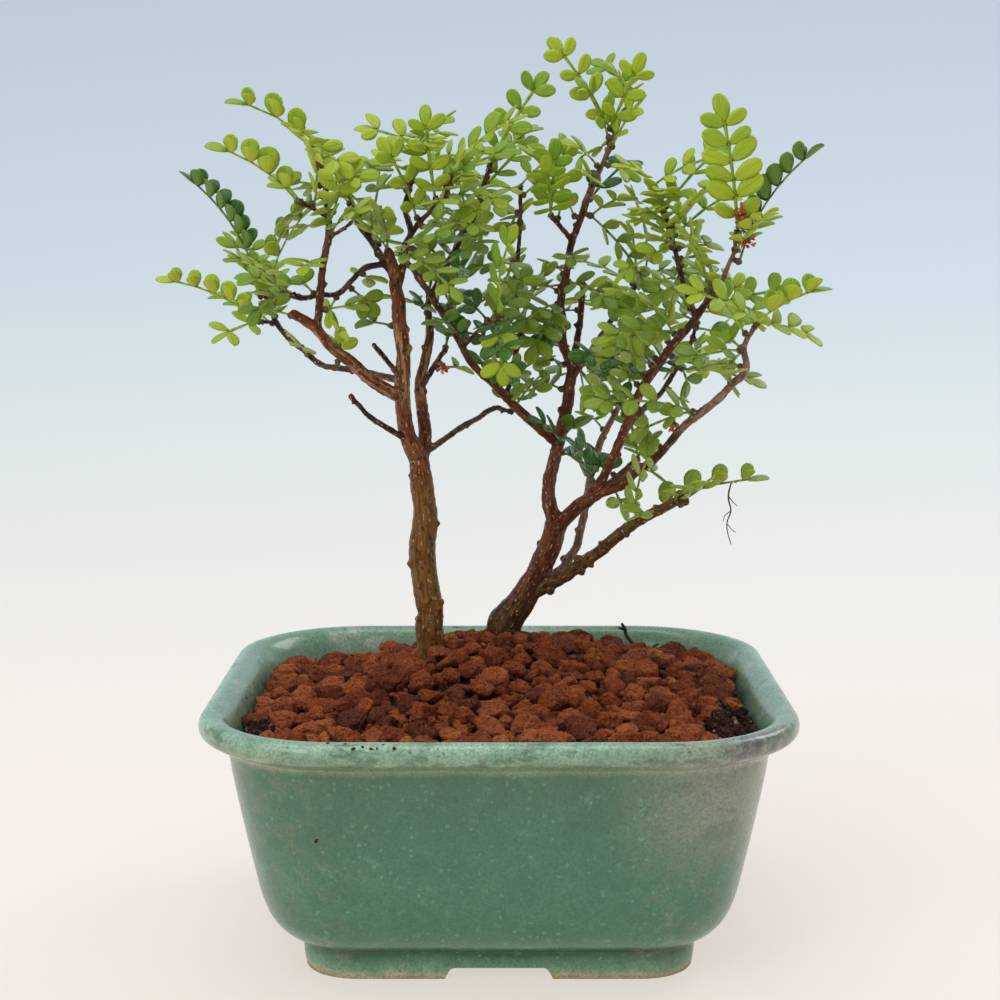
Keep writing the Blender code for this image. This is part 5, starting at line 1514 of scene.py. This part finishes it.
# Smaller leaves fill the crown between the sprays, on buds of their own along the twigs.
# Each is the spot of the twig that it grows at, the place of its tip and the way its face turns, in tenths.
FILLING = {
    "young": [
        (25, 14, 178, 17, 9, 191, 2, -9), (25, 14, 176, 33, 9, 187, -2, -8),
        (-44, 0, 142, -59, 3, 147, 0, -6), (-12, 0, 165, -1, 16, 176, 2, -4),
        (51, -8, 153, 58, -22, 161, 0, -4), (46, -7, 144, 59, -11, 137, -6, -4),
        (38, -2, 132, 23, 10, 143, 0, -8), (38, 8, 158, 30, -9, 161, -2, -2),
        (38, 8, 158, 51, 13, 169, -4, -2), (32, 18, 188, 21, 24, 196, -2, -10),
        (44, 27, 128, 60, 16, 137, -2, -4), (41, 1, 145, 55, 16, 145, 4, -8),
        (-4, 21, 166, -5, 39, 170, 4, -6), (-56, 32, 144, -64, 47, 158, 4, -6),
        (22, 13, 169, 15, 22, 170, -6, -8), (33, 41, 144, 30, 28, 159, 4, -2),
        (36, 9, 162, 52, 11, 177, 2, -6), (36, 9, 162, 31, 15, 158, 6, -6),
        (-34, 16, 164, -41, 30, 169, 0, -8), (-17, 3, 159, -26, -6, 177, -2, -8),
        (-38, 23, 126, -37, 24, 135, 2, -10), (-30, 12, 157, -40, 13, 174, 2, -6),
        (-4, 21, 168, 9, 31, 179, 4, -6), (28, 37, 138, 23, 49, 138, 2, -4),
        (30, 17, 186, 31, 38, 194, -4, -6), (38, 8, 157, 38, 21, 152, 2, -10),
        (52, -18, 132, 48, -10, 135, -6, -10), (-42, -8, 163, -50, -1, 169, 0, -6),
        (40, -3, 134, 37, 19, 131, -2, -4), (38, 7, 156, 55, 18, 166, 4, -2),
        (-20, 7, 166, -26, 14, 167, -2, -4), (41, 3, 148, 40, 15, 137, -6, -6),
        (-11, 0, 167, -6, 9, 170, 2, -2), (30, 17, 186, 23, 10, 194, 6, -4),
        (-38, 0, 167, -50, 2, 167, 6, -6), (-44, -10, 139, -52, -4, 139, 4, -4),
        (-19, 8, 172, -14, -10, 175, 2, -10), (26, 34, 135, 40, 38, 129, -2, -8),
        (46, 30, 132, 51, 48, 121, -4, -12), (-54, 31, 139, -55, 46, 150, -4, -12),
        (43, -4, 140, 60, 8, 135, -2, -6), (36, 9, 163, 34, -6, 166, 4, -2),
        (5, 16, 165, 12, 22, 169, -6, -12), (42, -1, 143, 57, 1, 144, -4, -10),
        (24, 14, 172, 32, 12, 168, -4, -4), (4, 22, 146, 3, 37, 151, -6, -12),
        (53, -19, 135, 45, -18, 142, 4, -4), (37, 9, 161, 35, -9, 165, -2, -8),
        (23, 14, 171, 14, 7, 177, 6, -4), (5, 18, 159, 5, 32, 162, -6, -4),
        (-19, 8, 173, -19, 27, 179, 0, -6), (-7, 22, 159, -12, 9, 174, 0, -4),
        (-53, 30, 136, -70, 41, 142, 0, -4), (51, -8, 153, 61, 6, 160, -4, -6),
        (-36, 6, 143, -39, 11, 136, -4, -10), (-41, -6, 162, -40, -22, 175, 4, -8),
        (18, 12, 160, 4, 6, 176, 2, -2), (-41, 3, 143, -47, 9, 147, 2, -10),
        (-41, 3, 174, -44, -12, 178, 0, -10), (-57, 33, 146, -64, 53, 150, 2, -2),
        (13, 9, 159, 14, 14, 179, 6, -6), (38, 7, 156, 28, -5, 159, -6, -8),
        (21, 13, 167, 19, 4, 170, 6, -10), (-13, 1, 163, -16, -6, 184, -2, -12),
        (-5, 21, 164, 4, 19, 161, 2, -8), (-37, -4, 131, -36, -12, 138, 6, -6),
        (-19, 8, 170, -29, 5, 172, 4, -4), (-38, -2, 161, -34, 2, 171, 2, -2),
        (-38, 0, 167, -26, -2, 169, -4, -12), (40, 4, 149, 42, -4, 160, 4, -8),
        (-40, 1, 171, -39, 9, 175, 0, -2), (25, 15, 177, 22, 23, 174, -4, -2),
        (27, 35, 136, 33, 28, 138, -6, -12), (-56, 32, 142, -66, 37, 157, 4, -6),
        (45, -6, 141, 65, -2, 144, 4, -12), (42, -4, 137, 51, -6, 133, -4, -2),
    ],
    "mature": [
        (-12, 0, 165, 2, -11, 162, 4, -12), (31, 3, 120, 18, -4, 122, -6, -10),
        (16, 14, 152, 16, 4, 149, 0, -8), (-18, 3, 159, -1, -11, 157, -2, -6),
        (42, 25, 125, 62, 17, 121, 2, -4), (40, 4, 149, 42, 19, 144, 6, -10),
        (24, 31, 132, 34, 27, 123, 4, -4), (39, 6, 153, 51, 11, 153, -2, -6),
        (4, 23, 141, -10, 38, 138, 0, -8), (30, 4, 117, 18, 0, 120, -4, -12),
        (-12, 24, 150, -20, 25, 155, -2, -8), (5, 24, 135, -3, 45, 134, -2, -12),
        (-34, 7, 145, -27, 6, 138, -4, -6), (-3, -1, 136, 6, 10, 145, 2, -12),
        (-3, 20, 171, 9, 33, 182, -4, -8), (-38, -1, 165, -50, 8, 154, -6, -2),
        (43, 26, 126, 45, 32, 118, 2, -12), (-11, 0, 167, -13, -16, 160, -2, -10),
        (16, 14, 150, 17, 24, 151, -4, -12), (-5, 21, 164, -7, 36, 149, 4, -10),
        (17, 22, 120, 7, 24, 122, -4, -4), (-3, 9, 124, -5, 18, 128, 4, -4),
        (43, -4, 140, 31, -16, 147, -6, -10), (35, 0, 127, 20, -8, 133, -2, -12),
        (5, 23, 132, 0, 16, 135, 2, -12), (-53, 30, 137, -54, 24, 149, 0, -6),
        (-17, 22, 140, -33, 37, 140, 4, -4), (17, 22, 125, 35, 17, 130, -2, -12),
        (47, -7, 145, 40, -6, 151, 2, -8), (-22, 6, 136, -33, 10, 136, -4, -4),
        (37, -1, 130, 46, 4, 127, -4, -2), (28, 40, 113, 25, 29, 118, -6, -8),
        (15, 15, 146, 26, -1, 140, -4, -6), (-12, 24, 150, -8, 44, 158, 2, -8),
        (40, -9, 99, 41, -24, 103, 0, -6), (36, -5, 96, 28, -12, 94, -4, -6),
        (44, 27, 128, 42, 35, 123, -4, -8), (-16, 22, 142, -16, 30, 150, 4, -2),
        (-1, -5, 138, 7, 4, 149, 4, -8), (26, 39, 109, 21, 49, 112, 4, -6),
        (2, 13, 119, 12, 2, 122, -4, -6), (15, 21, 111, 15, 31, 109, 0, -2),
        (-30, 12, 156, -26, 20, 170, -6, -2), (-29, 11, 154, -23, 19, 154, -4, -12),
        (15, 16, 143, 7, 22, 145, 4, -4), (34, 42, 145, 51, 46, 145, 6, -2),
        (41, 1, 145, 31, 2, 141, 2, -8), (-37, -3, 159, -46, -6, 155, -2, -2),
        (-20, 6, 164, -14, 15, 160, 6, -10), (5, 24, 134, 17, 26, 135, 0, -8),
        (-8, 23, 156, -12, 43, 162, 2, -4), (5, 17, 161, 2, 24, 154, 0, -2), (25, 16, 99, 29, 9, 91, 4, -6),
        (33, 42, 144, 17, 54, 150, 4, -6), (-15, 15, 126, -6, 23, 124, -6, -10),
        (-6, 22, 161, -4, 39, 169, 2, -10), (-13, 23, 148, -25, 32, 152, 4, -4),
        (39, -8, 98, 48, -15, 103, 4, -6), (18, 23, 127, 20, 35, 114, 4, -6),
        (50, -15, 125, 48, -26, 128, -2, -10), (-20, 7, 168, -16, -1, 171, 2, -6),
        (29, 38, 140, 16, 49, 139, 6, -6), (45, 28, 129, 58, 38, 117, 6, -4),
        (-33, 15, 161, -28, 23, 158, -2, -2), (-39, -6, 140, -28, -8, 140, 6, -4),
        (19, 27, 139, 6, 41, 133, 0, -2), (5, 24, 136, 13, 14, 150, -4, -4),
        (32, 22, 103, 40, 29, 97, 0, -6), (15, 15, 147, 12, 24, 149, 6, -10),
        (-28, 10, 153, -23, 5, 160, -2, -10), (52, -18, 132, 37, -25, 129, 4, -4),
        (32, 22, 103, 38, 19, 111, -6, -6), (-17, -3, 146, -3, -7, 154, 4, -6),
        (39, 21, 121, 45, 22, 114, 4, -2), (36, 0, 128, 27, 7, 136, -2, -10),
        (14, 17, 137, 10, 9, 134, 0, -10), (-10, 23, 153, -10, 45, 158, -6, -6),
        (-13, 23, 147, -8, 14, 146, -6, -8), (-20, 7, 166, -20, -2, 169, -6, -2),
        (-31, 8, 148, -30, 19, 144, 2, -4), (40, 5, 151, 48, 12, 151, 6, -12),
        (18, 23, 125, 12, 31, 121, -4, -10), (-45, 27, 128, -48, 15, 131, 6, -2),
        (32, 2, 122, 21, 9, 131, 0, -8),
    ],
    "dark": [
        (-2, -3, 137, -9, -4, 143, 6, -12), (13, 21, 106, 21, 31, 99, 4, -4),
        (23, 30, 131, 26, 36, 122, -2, -2), (-7, 3, 133, -14, -9, 138, -6, -6),
        (33, 12, 116, 24, 17, 119, 2, -8), (-1, -5, 138, 2, -25, 130, -4, -12),
        (15, 18, 134, 7, 12, 132, 2, -12), (-12, 12, 130, -9, 29, 144, 0, -10),
        (28, 18, 100, 20, 25, 103, 2, -4), (24, 36, 103, 16, 42, 104, 6, -12),
        (16, 21, 127, 9, 15, 128, -4, -8), (-16, 21, 138, -19, 12, 141, 6, -4),
        (25, 38, 108, 24, 47, 99, -4, -12), (29, 4, 115, 24, 12, 128, -6, -6),
        (-2, -3, 137, 4, -5, 123, -6, -6),
    ],
}
for tone, growing in FILLING.items():
    draw = random.Random("filling " + tone)
    foliage = Foliage()
    for x, y, z, tip_x, tip_y, tip_z, face_x, face_y in growing:
        spot, radius, along = on_limb(Vector((x, y, z)))
        tip = Vector((tip_x, tip_y, tip_z))
        way = tip - spot
        way = (way - along * way.dot(along)).normalized()
        seat = spot + way * (radius + FILLING_SEAT)
        add_bud(foliage, spot, seat, draw)
        face = Vector((0.1 * face_x, 0.1 * face_y, 1.0))
        add_leaf(foliage, hang(seat, tip, face, FILLING_HABIT, FILLING_BOW), draw)
    twigs = foliage.piece("twig_leaves_" + tone)
    twigs.data.materials.append(leaf_finishes[tone])
    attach(twigs, "root")


# The flower buds sit in little clusters beside the twigs, red and orange beads on short green stalks.
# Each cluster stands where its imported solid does.
# A row is a cluster's name, a spot on its twig, the way it looks and how many beads it has.
BUD_CLUSTERS = [
    ("buds_right", (51.2, -8, 155), (0.9, -0.5, 0.4), 60),
    ("buds_left_centre", (-14, 14, 127.7), (0.7, -0.7, 0.2), 26),
    ("buds_low_right", (40.5, -4, 113.8), (-0.6, -0.6, 0.8), 26),
    ("buds_fork", (-12.4, 1, 164), (0.3, -1.0, 0.2), 20),
    ("buds_far_left", (-54.5, 31, 139), (0.8, -0.6, 0.0), 22),
]
bud_finish, tree, shader = finish_of("flower_bud_skin")
place = in_millimetres(tree)
each = kept(tree, "tint")
own = ramp(tree, each, [(0.0, paint(180, 36, 34)), (0.35, paint(210, 66, 44)), (0.6, paint(226, 116, 72)),
                        (0.84, paint(238, 190, 146)), (1.0, paint(130, 150, 60))])
own = blend(tree, patchy(tree, place, 2.5, 0.4, 0.7), own, paint(150, 26, 36))
join(tree, shader, Base_Color=own, Normal=raised(tree, noise(tree, place, 3.5), 0.5, 0.0002))
shader.inputs["Roughness"].default_value = 0.45
shader.inputs["Subsurface Weight"].default_value = 0.15
shader.inputs["Subsurface Scale"].default_value = 0.0006

bpy.ops.object.select_all(action="DESELECT")
bpy.ops.mesh.primitive_ico_sphere_add(subdivisions=1, radius=1.0)
bead = bpy.context.object
bead_points = points_of(bead)
bead_faces = np.array(faces_of(bead))
bpy.data.objects.remove(bead, do_unlink=True)
CLUSTER_OUT = 0.9
# The right cluster is two heaps. The beads after this number make the upper one, this far from the first.
LOWER_HEAP = 14
UPPER_HEAP = Vector((-0.8, -1.4, 5.6))
for name, start, way, beads in BUD_CLUSTERS:
    draw = random.Random(name)
    spot, radius, along = on_limb(Vector(start))
    way = Vector(way)
    way = (way - along * way.dot(along)).normalized()
    centre = spot + way * (radius + SEAT + CLUSTER_OUT)
    points, faces, tints = [], [], []
    for number in range(beads):
        out = Vector(draw.gauss(0, 1) for _ in range(3)).normalized()
        out = (out + way * 0.5).normalized()
        away = draw.uniform(0.5, 2.6 if name == "buds_right" else 1.7)
        middle = centre + out * away + way * 0.3
        if name == "buds_right" and number > LOWER_HEAP:
            middle = centre + UPPER_HEAP + out * away
            middle += (centre - middle).normalized() * draw.uniform(0.0, 0.8)
        size = draw.uniform(0.24, 0.42)
        turn = np.array(out.to_track_quat("Z", "Y").to_matrix())
        shape = bead_points * (size, size, size * draw.uniform(1.1, 1.7))
        points.append(shape @ turn.T + np.array(middle))
        tints.append(np.full(len(bead_points), 0.85 * draw.random()))
        faces.append(bead_faces + len(bead_points) * (2 * number))
        stalk = bead_points * (0.12, 0.12, 0.5 * away)
        points.append(stalk @ turn.T + np.array(centre + (middle - centre) * 0.5))
        tints.append(np.ones(len(bead_points)))
        faces.append(bead_faces + len(bead_points) * (2 * number + 1))
    core = bead_points * (0.7, 0.7, 0.7) + np.array(centre - way * 0.7)
    points.append(core)
    tints.append(np.ones(len(core)))
    faces.append(bead_faces + len(bead_points) * 2 * beads)
    cluster = made_of("flower_" + name, points, np.concatenate(faces).tolist())
    mark(cluster, "tint", np.concatenate(tints))
    cluster.data.shade_smooth()
    cluster.data.materials.append(bud_finish)
    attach(cluster, "root")
    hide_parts(name)


# A dried rootlet hangs caught on the lowest leaf at the right, a brown plant thread with three side threads.
# It lies over the leaf's rib, well out from the leaf's seat, and hangs down from there.
_, _, seat, leaves = next(spray for spray in SPRAYS if spray[0] == "low_right")
hook = Vector(seat).lerp(Vector(leaves[0][:3]), 0.72) + Vector((0, 0, 1.5))
THREADS = [
    [(0.9, -0.2, 0.4, 0.16), (0, -0.5, 0.55, 0.18), (-0.6, -0.9, -0.6, 0.2), (-0.9, -0.8, -3.0, 0.2),
     (-0.3, -0.6, -6.0, 0.17), (-1.1, -0.7, -8.6, 0.14), (-0.9, -0.5, -11.0, 0.12), (-0.1, -0.6, -13.6, 0.1)],
    [(-0.9, -0.8, -2.6, 0.12), (0.4, -1.0, -4.2, 0.1), (1.1, -1.4, -4.8, 0.08)],
    [(-0.3, -0.6, -6.0, 0.12), (-1.6, -0.8, -7.0, 0.1), (-2.0, -0.6, -8.4, 0.07)],
    [(-1.0, -0.6, -9.0, 0.1), (0.2, -0.9, -10.4, 0.08), (0.9, -1.0, -10.8, 0.06)],
]
rootlet_finish, tree, shader = finish_of("dry_thread")
place = in_millimetres(tree)
join(tree, shader, Base_Color=blend(tree, patchy(tree, place, 0.8, 0.35, 0.65), paint(70, 48, 36),
                                    paint(126, 96, 70)),
     Normal=raised(tree, noise(tree, place, 5.0), 0.4, 0.0001))
shader.inputs["Roughness"].default_value = 0.8
threads = [grow_limb("thread", [(*(hook + Vector(p[:3])), p[3]) for p in route], 0.1) for route in THREADS]
rootlet = joined(threads, "dried_rootlet")
rootlet.data.materials.clear()
rootlet.data.materials.append(rootlet_finish)
bpy.ops.object.shade_smooth()
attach(rootlet, "root")


# Two dry moss-green sprouts stand in the soil by the back rim, thin plant stems with a bent tip.
SPROUTS = [
    [(34.6, 49, 50.6, 0.5), (33.9, 49.6, 53.4, 0.5), (32.2, 50, 55.8, 0.42), (31.8, 50, 57.4, 0.5),
     (31.0, 50, 58.8, 0.3)],
    [(32.2, 50, 57.0, 0.4), (30.2, 50.4, 57.6, 0.3)],
    [(38.0, 49, 51.2, 0.4), (39.2, 49.4, 52.9, 0.4), (40.4, 49.8, 53.6, 0.26)],
]
sprout_finish, tree, shader = finish_of("dry_sprout")
place = in_millimetres(tree)
join(tree, shader, Base_Color=blend(tree, patchy(tree, place, 1.0, 0.35, 0.65), paint(32, 52, 40),
                                    paint(74, 70, 46)),
     Normal=raised(tree, noise(tree, place, 4.0), 0.5, 0.0002))
shader.inputs["Roughness"].default_value = 0.7
sprout = joined([grow_limb("sprout", route, 0.5) for route in SPROUTS], "dry_sprouts")
sprout.data.materials.clear()
sprout.data.materials.append(sprout_finish)
bpy.ops.object.shade_smooth()
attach(sprout, "root")


# A few crumbs of clay lie on the lip and cling to the wall under it at the left.
LIP_CRUMBS = [(-28.6, -59.35, 55.95, 0.5), (-26.9, -59.0, 56.2, 0.4), (-25.2, -59.35, 55.9, 0.5),
              (-30.4, -58.0, 56.5, 0.35), (-20.6, -59.35, 55.9, 0.45), (-22.8, -58.4, 56.4, 0.3),
              (-33.8, -57.8, 56.6, 0.35), (-24.0, -59.3, 55.9, 0.3), (-36.8, -53.0, 35.1, 0.5)]
draw = random.Random(8)
points, faces, tints = [], [], []
for x, y, z, size in LIP_CRUMBS:
    shape_points, shape_faces = draw.choice(lump_shapes)[1]
    turn = np.array(Matrix.Rotation(draw.uniform(0, 6.28), 3, "Z")) * size
    faces.append(shape_faces + sum(len(p) for p in points))
    points.append(shape_points @ turn.T + np.array((x, y, z)))
    tints.append(np.full(len(shape_points), 0.3 * draw.random()))
crumbs = made_of("lip_crumbs", points, np.concatenate(faces).tolist())
mark(crumbs, "tint", np.concatenate(tints))
# The crumbs carry a faint even share of the lumps' painted shade.
mark(crumbs, "lump_underside_shade", np.full(sum(len(p) for p in points), 0.1))
crumbs.data.materials.append(clay)
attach(crumbs, "root")
